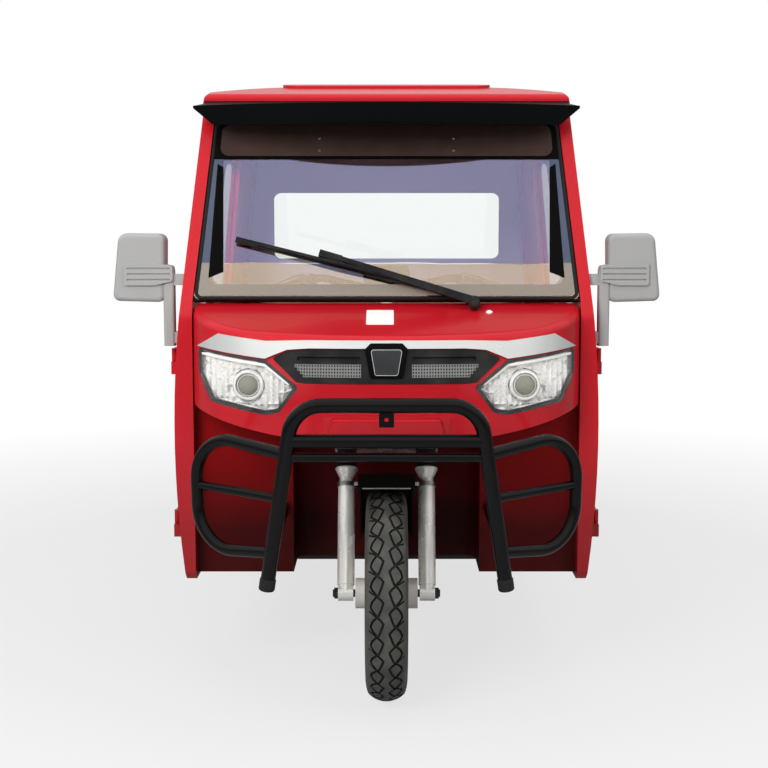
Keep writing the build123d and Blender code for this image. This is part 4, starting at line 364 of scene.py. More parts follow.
# Groove walls and floors: rubber painted near black as shade in the grooves.
GROOVE_SHADE_RUBBER = tyre_rubber("groove_rubber_painted_shade", "#0b0b0b", "#161616")
SEAL = tyre_rubber("extruded_rubber_seal", "#0a0a0b", "#1d1d1c")

PAINTED_REFLECTION_GLASS = painted_reflection_glass()
CLEAR_GLASS = float_glass()
VINYL = seat_vinyl()
PAPER = label_paper()
EDGE_REFLECTION_BAND = edge_band_painted_reflection()

SLOT_FINISH = {
    "red_paint": RED, "gloss_black": BLACK_GLOSS, "chassis_black": BLACK_CHASSIS, "silver_paint": SILVER,
    "black_plastic": BLACK_ABS, "grey_plastic": GREY_ABS, "dark_plastic": DARK_ABS, "bright_trim": TRIM_ABS,
    "window_glass": CLEAR_GLASS, "lamp_lens": LENS, "red_lens": RED_LENS, "mirror_face": MIRROR,
    "tyre_rubber": RUBBER, "seat_vinyl": VINYL, "motor_alloy": ALLOY, "spring_steel": STEEL,
    "battery_case": BATTERY,
}
# The front bulkhead takes the red enamel painted dark as shade.
NODE_FINISH = {
    "windscreen": PAINTED_REFLECTION_GLASS, "badge_plate": BLACK_FILM, "front_mudguard": GUARD_PP,
    "front_fork": FORK_ALLOY, "sun_visor": VISOR_ABS, "front_bulkhead": SHADED_RED, "bed_floor": BED_RED,
}

for part in frame["record"]["subparts"]:
    node = frame["nodes"][part["node"]]
    node.data.materials.clear()
    node.data.materials.append(NODE_FINISH.get(part["node"], SLOT_FINISH[part["material_slot"]]))


# Shapes

def spin(profile, steps=40, place=None):
    """Turned shape: (radius, height) points taken round the local Z axis."""
    bm = bmesh.new()
    rings = []
    for radius, height in profile:
        if radius < 1e-6:
            rings.append([bm.verts.new((0, 0, height))] * steps)
            continue
        turn = [2 * math.pi * i / steps for i in range(steps)]
        rings.append([bm.verts.new((radius * math.cos(t), radius * math.sin(t), height)) for t in turn])
    for low, high in zip(rings, rings[1:]):
        for i in range(steps):
            corners = [low[i], low[(i + 1) % steps], high[(i + 1) % steps], high[i]]
            unique = list(dict.fromkeys(corners))
            if len(unique) > 2:
                bm.faces.new(unique)
    if place is not None:
        bm.transform(place)
    return bm


def thickened(bm, depth):
    """Closes an open sheet by growing it along the vector depth."""
    grown = bmesh.ops.extrude_face_region(bm, geom=list(bm.faces))["geom"]
    bmesh.ops.translate(bm, vec=depth, verts=[v for v in grown if isinstance(v, bmesh.types.BMVert)])
    bmesh.ops.recalc_face_normals(bm, faces=bm.faces)
    return bm


def slab(points, depth, place=None, bevel=0.0, steps=2):
    """Flat shape: closed outline in local X and Y, thickened along Z, with its edges rounded."""
    bm = bmesh.new()
    bm.faces.new([bm.verts.new((x, y, 0)) for x, y in points])
    thickened(bm, (0, 0, depth))
    if bevel:
        bmesh.ops.bevel(bm, geom=list(bm.edges), offset=bevel, segments=steps, affect="EDGES", profile=0.6)
    if place is not None:
        bm.transform(place)
    return bm


def tube(points, radius, closed=False, sides=10, flat=1.0, lift=Vector((0, 0, 1))):
    """Round bar along points; flat under 1 presses its section along lift."""
    points = [Vector(p) for p in points]
    count = len(points)
    bm = bmesh.new()
    rings = []
    for i, point in enumerate(points):
        before = points[i - 1] if closed or i else point
        after = points[(i + 1) % count] if closed or i < count - 1 else point
        along = (after - before).normalized()
        across = along.cross(lift)
        across = across.normalized() if across.length > 1e-3 else along.orthogonal().normalized()
        up = across.cross(along)
        size = radius[i] if isinstance(radius, (list, tuple)) else radius
        ring = []
        for k in range(sides):
            t = 2 * math.pi * k / sides
            spoke = across * (size * math.cos(t)) + up * (size * flat * math.sin(t))
            ring.append(bm.verts.new(point + spoke))
        rings.append(ring)
    pairs = list(zip(rings, rings[1:])) + ([(rings[-1], rings[0])] if closed else [])
    for low, high in pairs:
        for k in range(sides):
            bm.faces.new([low[k], low[(k + 1) % sides], high[(k + 1) % sides], high[k]])
    if not closed:
        bm.faces.new(rings[0][::-1])
        bm.faces.new(rings[-1])
    bmesh.ops.recalc_face_normals(bm, faces=bm.faces)
    return bm


def rounded(points, radius, steps=6, closed=True):
    """Outline with each corner turned into an arc."""
    points = [Vector(p) for p in points]
    radii = radius if isinstance(radius, (list, tuple)) else [radius] * len(points)
    made = []
    for i, corner in enumerate(points):
        if not closed and i in (0, len(points) - 1):
            made.append(corner)
            continue
        back = (points[i - 1] - corner).normalized()
        ahead = (points[(i + 1) % len(points)] - corner).normalized()
        half = back.angle(ahead) / 2
        if half > 1.55 or radii[i] <= 0:
            made.append(corner)
            continue
        reach = radii[i] / math.tan(half)
        middle = corner + (back + ahead).normalized() * (radii[i] / math.sin(half))
        start, end = corner + back * reach - middle, corner + ahead * reach - middle
        for k in range(steps + 1):
            made.append(middle + start.slerp(end, k / steps).normalized() * radii[i])
    return made


def rectangle(left, right, low, high):
    """Corners of an upright rectangle, in order round it."""
    return [(left, low), (right, low), (right, high), (left, high)]


def panel(left, right, low, high, radius, steps):
    """Outline of a rectangle with round corners."""
    return rounded(rectangle(left, right, low, high), radius, steps)


def rod(points, bend, steps, radius, **form):
    """Bent rod: a tube whose corners are turned into arcs."""
    return tube(rounded(points, bend, steps, closed=False), radius, **form)


def upright(aft):
    """Matrix that stands an (x, z) outline across the vehicle, growing forwards from an aft distance."""
    return Matrix.Translation((0, aft, 0)) @ Matrix.Rotation(math.pi / 2, 4, "X")


def flat_at(z):
    """Matrix that lays an (x, aft) outline flat at a height."""
    return Matrix.Translation((0, 0, z))


def facing(x, aft, z, direction, up=(0, 0, 1)):
    """Matrix that stands local Z along a direction at a point."""
    direction = Vector(direction).normalized()
    across = Vector(up).cross(direction)
    across = across.normalized() if across.length > 1e-4 else Vector((1, 0, 0))
    turn = Matrix((across, direction.cross(across), direction)).transposed().to_4x4()
    return Matrix.Translation((x, aft, z)) @ turn


def hex_bolt(x, aft, z, direction, radius, head=None):
    """Hexagon head with a chamfer, standing on a round washer."""
    head = head or radius * 0.9
    place = facing(x, aft, z, direction)
    washer = [(0, 0), (radius * 1.55, 0), (radius * 1.55, radius * 0.22), (0, radius * 0.22)]
    top = radius * 0.22 + head
    nut = [(radius, radius * 0.2), (radius, top - radius * 0.15), (radius * 0.82, top), (0, top)]
    return [spin(washer, 20, place), spin(nut, 6, place)]


def cross_screw(x, aft, z, direction, radius):
    """Domed screw head, with its cross cut drawn as two thin bars on top that carry painted shade."""
    place = facing(x, aft, z, direction)
    dome = [(radius, 0), (radius * 0.95, radius * 0.3), (radius * 0.6, radius * 0.55), (0, radius * 0.62)]
    width, reach, top = radius * 0.14, radius * 0.55, radius * 0.63
    cut_shade = [
        slab(rectangle(-reach, reach, -width, width), 0.5, place @ flat_at(top - 0.45)),
        slab(rectangle(-width, width, -reach, reach), 0.5, place @ flat_at(top - 0.4)),
    ]
    return [spin(dome, 16, place)], cut_shade


def mirrored(shapes):
    """The same shapes on the other side of the centre line."""
    made = []
    for bm in shapes:
        copy = bm.copy()
        copy.transform(Matrix.Scale(-1, 4, (1, 0, 0)))
        bmesh.ops.reverse_faces(copy, faces=copy.faces)
        made.append(copy)
    return made


def pair(shapes):
    """Shapes on the left with their mirror images on the right."""
    return shapes + mirrored(shapes)


def piece(name, body, material, shapes, sharp=35.0):
    """Joins shapes drawn in millimetres into one object on a body; edges over sharp degrees stay crisp."""
    mesh = bpy.data.meshes.new(name)
    whole = bmesh.new()
    for bm in shapes:
        part_mesh = bpy.data.meshes.new("part")
        bm.to_mesh(part_mesh)
        whole.from_mesh(part_mesh)
        bpy.data.meshes.remove(part_mesh)
        bm.free()
    whole.transform(TO_FRAME)
    whole.to_mesh(mesh)
    whole.free()
    mesh.shade_smooth()
    mesh.set_sharp_from_angle(angle=math.radians(sharp))
    mesh.materials.append(material)
    made = bpy.data.objects.new(name, mesh)
    bpy.context.scene.collection.objects.link(made)
    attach(made, body)
    return made


probes = {}


def struck(node, start, direction):
    """Where a line from a point first meets a CAD node, in millimetres, and the surface's direction there."""
    if node not in probes:
        probes[node] = BVHTree.FromObject(frame["nodes"][node], bpy.context.evaluated_depsgraph_get())
    hit, normal, _, _ = probes[node].ray_cast(TO_FRAME @ Vector(start), Vector(direction))
    return (None, None) if hit is None else (FROM_FRAME @ hit, normal)


def front_of(node, x, z):
    """Aft distance at which a line from straight ahead first meets a CAD node."""
    hit, _ = struck(node, (x, -2000.0, z), (0, 1, 0))
    return None if hit is None else hit.y


def on_screen(x, z, lift=0.0):
    """Point on the windscreen's outer face at a height, raised off it by lift."""
    aft = SCREEN_BASE[0] + (z - SCREEN_BASE[1]) * math.tan(SCREEN_TILT)
    return Vector((x, aft - lift * math.cos(SCREEN_TILT), z + lift * math.sin(SCREEN_TILT)))


# Tyres: smooth crown with two chains of diamond grooves, as in the photograph

TREAD_ARC_R = 65.2
TREAD_HALF_ARC = 52.4
TREAD_PITCHES = 34
TREAD_PITCH = 2 * math.pi * TYRE_R / TREAD_PITCHES
GROOVE_DEPTH = 5.0
GROOVE_HALF = 3.0
CHAIN_OFFSET = 24.5
DIAMOND_LENGTH = 50.4
DIAMOND = ((0.0, 25.2), (10.0, 18.0), (17.0, 9.5), (11.0, -8.0),
           (3.5, -25.2), (-11.0, -11.5), (-17.5, -1.0), (-12.0, 12.0))
BRANCH_REACH, BRANCH_DROP = 24.0, 14.0  # side groove from each diamond's tip to the shoulder
TREAD_FINISH_DEG = 50.0


def stretched(points, amount):
    """Closed outline moved outwards by an amount, or inwards if it is negative."""
    made = []
    count = len(points)
    area = sum(points[i - 1][0] * points[i][1] - points[i][0] * points[i - 1][1] for i in range(count))
    side = 1.0 if area > 0 else -1.0
    for i in range(count):
        a, b, c = (Vector(points[k]) for k in (i - 1, i, (i + 1) % count))
        first, second = (b - a).normalized(), (c - b).normalized()
        n1, n2 = Vector((first.y, -first.x)) * side, Vector((second.y, -second.x)) * side
        out = (n1 + n2).normalized()
        made.append(tuple(b + out * (amount / max(0.4, out.dot(n1)))))
    return made


def inside(point, outline):
    """Whether a point lies within a closed outline."""
    x, y = point
    hit = False
    for (x1, y1), (x2, y2) in zip(outline, outline[1:] + outline[:1]):
        if (y1 > y) != (y2 > y) and x < (x2 - x1) * (y - y1) / (y2 - y1) + x1:
            hit = not hit
    return hit


def tread_cell():
    """One pitch of the tread laid flat: points across and along, triangles, and which of them are groove."""
    rings = []
    stretch = TREAD_PITCH / DIAMOND_LENGTH
    for side in (-1, 1):
        for step in (-1, 0, 1, 2):
            middle = (step + (0.25 if side > 0 else 0.75)) * TREAD_PITCH
            loop = [(side * (CHAIN_OFFSET - x), middle - y * stretch) for x, y in reversed(DIAMOND)]
            rings.append((stretched(loop, GROOVE_HALF), stretched(loop, -GROOVE_HALF)))
            tip, half = middle - TREAD_PITCH / 2, 0.8 * GROOVE_HALF
            inner, outer, end = side * CHAIN_OFFSET, side * (CHAIN_OFFSET + BRANCH_REACH), tip - BRANCH_DROP
            branch = [(inner, tip - half), (outer, end - half), (outer, end + half), (inner, tip + half)]
            rings.append((branch, []))
    points, edges = [], []

    def loop_in(outline):
        start = len(points)
        points.extend(Vector(p) for p in outline)
        edges.extend((start + i, start + (i + 1) % len(outline)) for i in range(len(outline)))

    for outer, inner in rings:
        loop_in(outer)
        loop_in(inner)
    w, p = TREAD_HALF_ARC, TREAD_PITCH
    columns = [-w, -46.0, -5.0, 5.0, 46.0, w]
    rows = [0.0, p / 4, p / 2, 3 * p / 4, p]
    loop_in([(-w, y) for y in rows] + [(x, p) for x in columns[1:-1]] + [(w, y) for y in reversed(rows)]
            + [(x, 0.0) for x in reversed(columns[1:-1])])
    points.extend(Vector((x, y)) for x in columns[1:-1] for y in rows[1:-1])
    flat, _, triangles, _, _, _ = delaunay_2d_cdt(points, edges, [], 0, 1e-4)
    kept = []
    for triangle in triangles:
        middle = sum((flat[i] for i in triangle), Vector((0, 0))) / len(triangle)
        if not (0 < middle.y < p and abs(middle.x) < w):
            continue
        cut = any(inside(middle, outer) and not inside(middle, inner) for outer, inner in rings)
        kept.append((triangle, cut))
    return flat, kept


def tyre_shape():
    """Whole tyre about the X axis: grooved crown and shouldered, ribbed sidewalls."""
    flat, kept = tread_cell()
    bm = bmesh.new()
    corners = {}

    def corner(index, low, cell):
        key = (index, low, cell)
        if key not in corners:
            across, along = flat[index]
            lean = across / TREAD_ARC_R
            reach = TREAD_ARC_R - (GROOVE_DEPTH if low else 0.0)
            radius = TYRE_R - TREAD_ARC_R + reach * math.cos(lean)
            turn = 2 * math.pi * (cell + along / TREAD_PITCH) / TREAD_PITCHES
            spot = (reach * math.sin(lean), -radius * math.sin(turn), radius * math.cos(turn))
            corners[key] = bm.verts.new(spot)
        return corners[key]

    edge_use = {}
    for triangle, cut in kept:
        for i, j in zip(triangle, triangle[1:] + triangle[:1]):
            edge_use.setdefault(frozenset((i, j)), []).append((i, j, cut))
    walls = [use for use in edge_use.values() if len(use) == 2 and use[0][2] != use[1][2]]
    for cell in range(TREAD_PITCHES):
        for triangle, cut in kept:
            bm.faces.new([corner(i, cut, cell) for i in triangle]).material_index = int(cut)
        for first, second in walls:
            i, j, _ = first if not first[2] else second
            ends = ((j, False), (i, False), (i, True), (j, True))
            bm.faces.new([corner(index, low, cell) for index, low in ends]).material_index = 1
    bmesh.ops.remove_doubles(bm, verts=bm.verts, dist=0.02)
    # Sidewall from the tread's edge to the bead, with a shoulder step and two fine ribs.
    edge_x = TREAD_ARC_R * math.sin(TREAD_HALF_ARC / TREAD_ARC_R)
    edge_r = TYRE_R - TREAD_ARC_R + TREAD_ARC_R * math.cos(TREAD_HALF_ARC / TREAD_ARC_R)
    wall = [(edge_r, edge_x), (252.0, 50.6), (249.0, 50.4), (246.0, 52.2), (232.0, 54.3), (216.0, 54.9),
            (202.0, 54.2), (200.5, 54.9), (198.0, 54.9), (196.5, 53.6), (186.0, 51.4), (184.5, 52.2),
            (182.5, 51.9), (181.0, 50.2), (172.0, 46.0), (167.0, 42.2), (163.0, 40.4), (156.0, 38.2),
            (156.0, 20.0)]
    for side in (-1, 1):
        ring = spin([(r, side * x) for r, x in wall], TREAD_PITCHES * 4, Matrix.Rotation(math.pi / 2, 4, "Y"))
        if side < 0:
            bmesh.ops.reverse_faces(ring, faces=ring.faces)
        joined = bpy.data.meshes.new("part")
        ring.to_mesh(joined)
        bm.from_mesh(joined)
        bpy.data.meshes.remove(joined)
        ring.free()
    bmesh.ops.recalc_face_normals(bm, faces=bm.faces)
    return bm


def wheel_set():
    """Three treaded tyres from one shape."""
    shape = tyre_shape()
    for name, x, aft, _ in WHEELS:
        tyre = shape.copy()
        tyre.transform(Matrix.Translation((x, aft, AXLE_Z)))
        made = piece(name + "_treaded_tyre", name + "_wheel", RUBBER, [tyre], TREAD_FINISH_DEG)
        # The second finish paints shade in the grooves.
        made.data.materials.append(GROOVE_SHADE_RUBBER)
        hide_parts(name + "_tyre")
    shape.free()


wheel_set()


# Lamps, grille and badge

LAMP_EDGE = [(494.4, 931.0), (492.4, 868.0), (456.4, 795.0), (308.4, 768.0),
             (273.4, 775.0), (222.4, 842.0), (306.4, 908.0)]
PROJECTOR = (354.0, 842.0)
PYRAMID = 7.5  # half the spacing of the reflector's pyramids
PYRAMIDS_FROM = (215.0, 765.0)
REFLECTOR_HOLE = 40.0
GRILLE_LOW, GRILLE_HIGH = 867.5, 901.5  # heights at which the grille's face is probed


def lens_aft(x, z):
    """Aft distance of the left lens's outer face, taken nearer the lamp's middle where the line misses it."""
    for share in (0.0, 0.04, 0.1, 0.2, 0.35):
        aft = front_of("headlamp_lenses", x + (PROJECTOR[0] - x) * share, z + (PROJECTOR[1] - z) * share)
        if aft is not None:
            return aft
    return -60.0


def along_lens(points, depth, step=8.0):
    """Closed outline laid behind the lens, with points every few millimetres."""
    made = []
    for (x1, z1), (x2, z2) in zip(points, points[1:] + points[:1]):
        count = max(1, round(math.hypot(x2 - x1, z2 - z1) / step))
        for k in range(count):
            x, z = x1 + (x2 - x1) * k / count, z1 + (z2 - z1) * k / count
            made.append(Vector((x, lens_aft(x, z) + depth, z)))
    return made


def lamp_bezel():
    """Dark frame just behind the lens, turned back into the bucket."""
    edge = [tuple(p) for p in rounded(stretched(LAMP_EDGE, -1.0), 11.0, 4)]
    inner = [tuple(p) for p in rounded(stretched(LAMP_EDGE, -9.0), 8.0, 4)]
    rings = [along_lens(edge, 6.0, 400.0), along_lens(inner, 7.0, 400.0), along_lens(inner, 30.0, 400.0)]
    bm = bmesh.new()
    made = [[bm.verts.new(p) for p in ring] for ring in rings]
    for low, high in zip(made, made[1:]):
        for i in range(len(low)):
            j = (i + 1) % len(low)
            bm.faces.new([low[i], low[j], high[j], high[i]])
    return bm


def lamp_crystal():
    """Metallised reflector of small pyramids, dished away round the projector."""
    edge = [tuple(p) for p in rounded(stretched(LAMP_EDGE, -7.0), 10.0, 3)]
    field = stretched(edge, -4.0)
    points = [Vector(p) for p in edge]
    edges = [(i, (i + 1) % len(edge)) for i in range(len(edge))]
    for row in range(26):
        for column in range(44):
            spot = (PYRAMIDS_FROM[0] + column * PYRAMID, PYRAMIDS_FROM[1] + row * PYRAMID)
            clear = math.dist(spot, PROJECTOR) > REFLECTOR_HOLE + 6.0
            if clear and (row + column) % 2 == 0 and inside(spot, field):
                points.append(Vector(spot))
    rim = REFLECTOR_HOLE + 2.0
    for k in range(24):
        t = 2 * math.pi * k / 24
        points.append(Vector((PROJECTOR[0] + rim * math.cos(t), PROJECTOR[1] + rim * math.sin(t))))
    flat, _, triangles, _, _, _ = delaunay_2d_cdt(points, edges, [], 1, 1e-4)
    bm = bmesh.new()
    corners = []
    for x, z in flat:
        near = math.dist((x, z), PROJECTOR)
        steps = (round((x - PYRAMIDS_FROM[0]) / PYRAMID), round((z - PYRAMIDS_FROM[1]) / PYRAMID))
        tip = all(step % 2 == 0 for step in steps)
        depth = 22.0 + (0.0 if tip else 8.0) + max(0.0, 60.0 - near) * 0.35
        corners.append(bm.verts.new((x, lens_aft(x, z) + depth, z)))
    for triangle in triangles:
        middle = sum((flat[i] for i in triangle), Vector((0, 0))) / 3
        if math.dist(middle, PROJECTOR) > REFLECTOR_HOLE:
            bm.faces.new([corners[i] for i in triangle])
    bmesh.ops.recalc_face_normals(bm, faces=bm.faces)
    return bm


def lamp_projector():
    """Turned parts of the projector: bright ring, its lip and the bulging glass."""
    front = lens_aft(*PROJECTOR) + 20.0
    place = facing(PROJECTOR[0], front, PROJECTOR[1], (0, -1, 0))
    ring = [(31.0, -14.0), (31.0, 1.0), (33.0, 3.0), (37.0, 2.0), (40.0, -4.0), (40.0, -22.0)]
    collar = [(31.0, -12.0), (27.0, -2.0), (25.5, -1.0), (25.5, -12.0)]
    bulge = [(26.0 * math.cos(t), -8.0 + 15.0 * math.sin(t)) for t in (0.2, 0.5, 0.8, 1.1, 1.35)]
    glass = [(26.0, -10.0)] + bulge + [(0, 7.0)]
    return spin(ring, 40, place), spin(collar, 40, place), spin(glass, 40, place)


def lamp_strip():
    """Opal light guide under the upper edge and down to the inner corner."""
    path = rounded([(478.0, 917.0), (309.0, 895.0), (245.0, 848.0)], 10.0, 5, closed=False)
    made = []
    for (x1, z1), (x2, z2) in zip(path, path[1:]):
        count = max(1, round(math.hypot(x2 - x1, z2 - z1) / 9.0))
        made += [(x1 + (x2 - x1) * k / count, z1 + (z2 - z1) * k / count) for k in range(count)]
    made.append(tuple(path[-1]))
    return tube([Vector((x, lens_aft(x, z) + 17.0, z)) for x, z in made], 5.5, sides=10)


def headlamps():
    """Both lamps' insides."""
    ring, collar, glass = lamp_projector()
    # Part, slot, finish, shape and the angle in degrees over which its edges stay crisp.
    parts = (
        ("bezel", "dark_plastic", DARK_ABS, lamp_bezel(), 35.0),
        ("reflector", "bright_trim", CHROME, lamp_crystal(), 5.0),
        ("strip", "lamp_lens", OPAL, lamp_strip(), 35.0),
        ("ring", "bright_trim", CHROME, ring, 20.0),
        ("collar", "bright_trim", CHROME, collar, 35.0),
        ("projector", "lamp_lens", BULGE, glass, 35.0),
    )
    for side in ("left", "right"):
        for part, slot, material, shape, sharp in parts:
            shapes = [shape.copy()] if side == "left" else mirrored([shape])
            piece(side + "_lamp_" + part, "chassis", material, shapes, sharp)


def nose_aft(x, z):
    """Aft distance of the grille's face between its slots."""
    low = front_of("grille", x, GRILLE_LOW) or -120.0
    high = front_of("grille", x, GRILLE_HIGH) or -115.0
    return low + (high - low) * (z - GRILLE_LOW) / (GRILLE_HIGH - GRILLE_LOW)


def grille_mesh():
    """Perforated strip each side of the badge: rows of pointed holes in a thin sheet, backed with black."""
    x_start, x_end, z_low, z_high = 64.0, 232.0, 868.5, 900.5
    cell = 7.0
    bm = bmesh.new()
    columns, rows = int((x_end - x_start) / cell), 4
    height = (z_high - z_low) / rows
    for column in range(columns):
        for row in range(rows):
            middle_x = x_start + (column + 0.5) * cell
            middle_z = z_low + (row + 0.5) * height
            if middle_x > x_end - 26.0 * (1 - (middle_z - z_low) / (z_high - z_low)):
                continue
            outer = rectangle(-cell / 2, cell / 2, -height / 2, height / 2)
            hole = [(-cell * 0.36, 0.0), (0.0, -height * 0.4), (cell * 0.36, 0.0), (0.0, height * 0.4)]
            rings = []
            for outline in (outer, hole):
                spots = [(middle_x + x, middle_z + z) for x, z in outline]
                rings.append([bm.verts.new((x, nose_aft(x, z) - 1.6, z)) for x, z in spots])
            for i in range(4):
                j = (i + 1) % 4
                bm.faces.new([rings[0][i], rings[0][j], rings[1][j]])
                bm.faces.new([rings[0][i], rings[1][j], rings[1][i]])
    bmesh.ops.remove_doubles(bm, verts=bm.verts, dist=0.05)
    thickened(bm, (0, 1.2, 0))
    backing = bmesh.new()
    ends = []
    for k in range(13):
        x = x_start - 3.0 + (x_end + 6.0 - x_start) * k / 12
        ends.append([backing.verts.new((x, nose_aft(x, z) + 2.5, z)) for z in (z_low - 2.0, z_high + 2.0)])
    for (a, b), (c, d) in zip(ends, ends[1:]):
        backing.faces.new([a, c, d, b])
    thickened(backing, (0, 1.0, 0))
    piece("grille_backing", "chassis", BLACK_FILM, pair([backing]))
    piece("grille_mesh", "chassis", MESH_METAL, pair([bm]), 20.0)


def badge():
    """Black hood over the blank badge, with a charcoal shield let into it and a bright line round that."""
    lean = math.atan2(13.5, 45.0)
    place = facing(0, -131.0, 880.0, (0, -math.cos(lean), math.sin(lean)))

    def outline(points, radius):
        return rounded([(x, (z - 880.0) / math.cos(lean)) for x, z in points], radius, 5)

    hood_edge = [(-39.0, 868.0), (39.0, 868.0), (55.0, 938.0), (40.0, 953.0), (-40.0, 953.0), (-55.0, 938.0)]
    hood = outline(hood_edge, 6.0)
    piece("badge_hood", "chassis", BLACK_FILM, [slab(hood, 3.0, place, 0.8)])
    edge = outline([(-28.0, 874.0), (28.0, 874.0), (39.0, 936.0), (-39.0, 936.0)], 6.0)
    piece("badge_shield", "chassis", DARK_ABS, [slab(edge, 4.6, place, 0.8)])
    line = [place @ Vector((x, y, 3.4)) for x, y in edge]
    piece("badge_outline", "chassis", TRIM_ABS, [tube(line, 1.1, True, 8, lift=AFT)])


def nose_lid():
    """Raised lid pressed into the nose under the grille."""
    lean = math.atan2(9.0, 48.0)
    place = facing(0, -104.5, 716.0, (0, -math.cos(lean), -math.sin(lean)))
    lid = rounded([(-150.0, 0.0), (150.0, 0.0), (137.0, 48.0), (-137.0, 48.0)], 9.0, 5)
    piece("nose_lid", "chassis", RED, [slab(lid, 15.0, place, 5.0, 3)])


headlamps()
grille_mesh()
badge()
nose_lid()


# Windscreen, wiper and bonnet fittings

HEADER_LOW = 1428.0
BLADE_BRIDGES = ((0.1, 0.34), (0.42, 0.62), (0.66, 0.9))  # shares of the wiper blade's length


def screen_half(z):
    """Half-width of the windscreen opening at a height."""
    return 520.0 - 50.0 * max(0.0, z - 1045.0) / 525.0


def screen_edge(low, high, inset):
    """Corners of the pane between two heights, inset at its sides, from the upper left round the foot."""
    wide, narrow = screen_half(low) - inset, screen_half(high) - inset
    return [(-narrow, high), (-wide, low), (wide, low), (narrow, high)]


def screen_gasket():
    """Rubber strip round the edge of the pane."""
    path = [on_screen(x, z, 1.0) for x, z in rounded(screen_edge(1055.0, 1527.0, 7.0), 16.0, 5)]
    piece("windscreen_gasket", "chassis", SEAL, [tube(path, 5.0, True, 10, 0.7, SCREEN_OUT)])


def screen_header():
    """Black header with a screwed brown board let into it, a band of painted reflection along the pane's
    edge, and black side strips of painted shade.
    """
    def flat(points):
        return [(x, (z - SCREEN_BASE[1]) / math.cos(SCREEN_TILT)) for x, z in points]

    place = facing(0, *SCREEN_BASE, SCREEN_OUT)
    border = flat([(-482.0, HEADER_LOW), (482.0, HEADER_LOW), (474.0, 1524.0), (-474.0, 1524.0)])
    piece("screen_header", "chassis", BLACK_FILM, [slab(border, 2.4, place, 0.6)])
    board = rounded(flat([(-456.0, 1436.0), (456.0, 1436.0), (450.0, 1522.0), (-450.0, 1522.0)]), 24.0, 6)
    piece("screen_header_board", "chassis", BROWN_BOARD, [slab(board, 4.2, place, 0.8)])
    # Band of painted reflection up the pane's sides and along its foot.
    bm = bmesh.new()
    rings = []
    for inset in (9.0, 38.0):
        edge = screen_edge(1053.0 + inset, HEADER_LOW, inset)
        rings.append([bm.verts.new((*p, 0.5)) for p in rounded(flat(edge), 20.0, 6, closed=False)])
    outer, inner = rings
    for i in range(len(outer) - 1):
        bm.faces.new([outer[i], outer[i + 1], inner[i + 1], inner[i]])
    thickened(bm, (0, 0, -0.4))
    bm.transform(place)
    piece("screen_edge_band_painted_reflection", "chassis", EDGE_REFLECTION_BAND, [bm])
    # Black strips up the pane's sides: painted shade of the cab's inner side walls seen through the glass.
    strip = slab(flat([(446.0, 1406.0), (462.0, 1416.0), (479.0, 1108.0), (439.0, 1124.0)]), 0.9, place)
    piece("screen_side_painted_shade", "chassis", BLACK_FILM, pair([strip]))
    heads, slot_shades = [], []
    for x in (-184.0, 184.0):
        for z in (1452.0, 1485.0):
            head, cut = cross_screw(*on_screen(x, z, 4.1), SCREEN_OUT, 4.5)
            heads += head
            slot_shades += cut
    piece("header_screws", "chassis", ZINC, heads)
    # Dark bars on the zinc heads: painted shade in the cross cuts.
    piece("header_screw_slot_shade", "chassis", DARK_ABS, slot_shades)


def wiper_details():
    """Blade's bridges with their claws, the rod beside the arm, the pivot's cap and the washer jet."""
    left, right = Vector((-400.0, 1204.0)), Vector((157.0, 1067.5))

    def on_blade(share, lift):
        return on_screen(*left.lerp(right, share), lift)

    def bridge(start, end, count, sides, lift, rise, radius):
        waves = [math.sin(math.pi * k / count) for k in range(count + 1)]
        shares = [start + (end - start) * k / count for k in range(count + 1)]
        path = [on_blade(share, lift + rise * wave) for share, wave in zip(shares, waves)]
        return tube(path, radius(waves), sides=sides, flat=0.7, lift=SCREEN_OUT)

    shapes = [bridge(start, end, 8, 8, 17.5, 5.5, lambda _: 3.4) for start, end in BLADE_BRIDGES]
    shapes.append(bridge(0.22, 0.76, 16, 10, 22.0, 10.0, lambda waves: [3.0 + 2.6 * wave for wave in waves]))
    claw = [(4.6, -5.0), (4.6, 5.0), (3.6, 6.2), (0, 6.2)]
    for share in sum(BLADE_BRIDGES, ()):
        shapes.append(spin(claw, 12, facing(*on_blade(share, 15.0), SCREEN_OUT)))
    side_rod = [on_screen(-120.0 + 330.0 * k / 10, 1142.0 - 92.0 * k / 10, 14.0) for k in range(11)]
    shapes.append(tube(side_rod, 3.6, sides=8, lift=SCREEN_OUT))
    piece("wiper_linkage", "chassis", BLACK_ABS, shapes)
    pivot = Vector((234.0, front_of("wiper", 234.0, 1040.0) or 120.0, 1040.0)) + SCREEN_OUT * 3.0
    cap = [(0, 12.0), (7.0, 11.5), (11.0, 9.0), (13.5, 4.0), (14.0, -2.0), (16.0, -4.0)]
    cap_shape = spin(cap, 24, facing(*pivot, SCREEN_OUT))
    piece("wiper_pivot_cap", "chassis", BLACK_ABS, [cap_shape])
    jet = [(9.0, 0), (9.0, 2.5), (6.5, 4.5), (3.0, 5.5), (2.6, 3.5), (0, 3.5)]
    spot = (272.0, 78.0, bonnet_z(78.0))
    piece("washer_jet", "chassis", OPAL, [spin(jet, 20, facing(*spot, BONNET_UP))])


def bonnet_z(aft):
    """Height of the bonnet's slope."""
    return 968.0 + (aft + 100.0) * 72.0 / 250.0


def bonnet_label():
    """Blank paper label stuck on the bonnet's slope."""
    place = facing(-17.0, 42.0, bonnet_z(42.0) + 0.15, BONNET_UP, AFT)
    label = slab(panel(-36.0, 36.0, -56.0, 56.0, 3.0, 3), 0.4, place)
    piece("bonnet_label", "chassis", PAPER, [label])


screen_gasket()
screen_header()
wiper_details()
bonnet_label()


# Cab interior

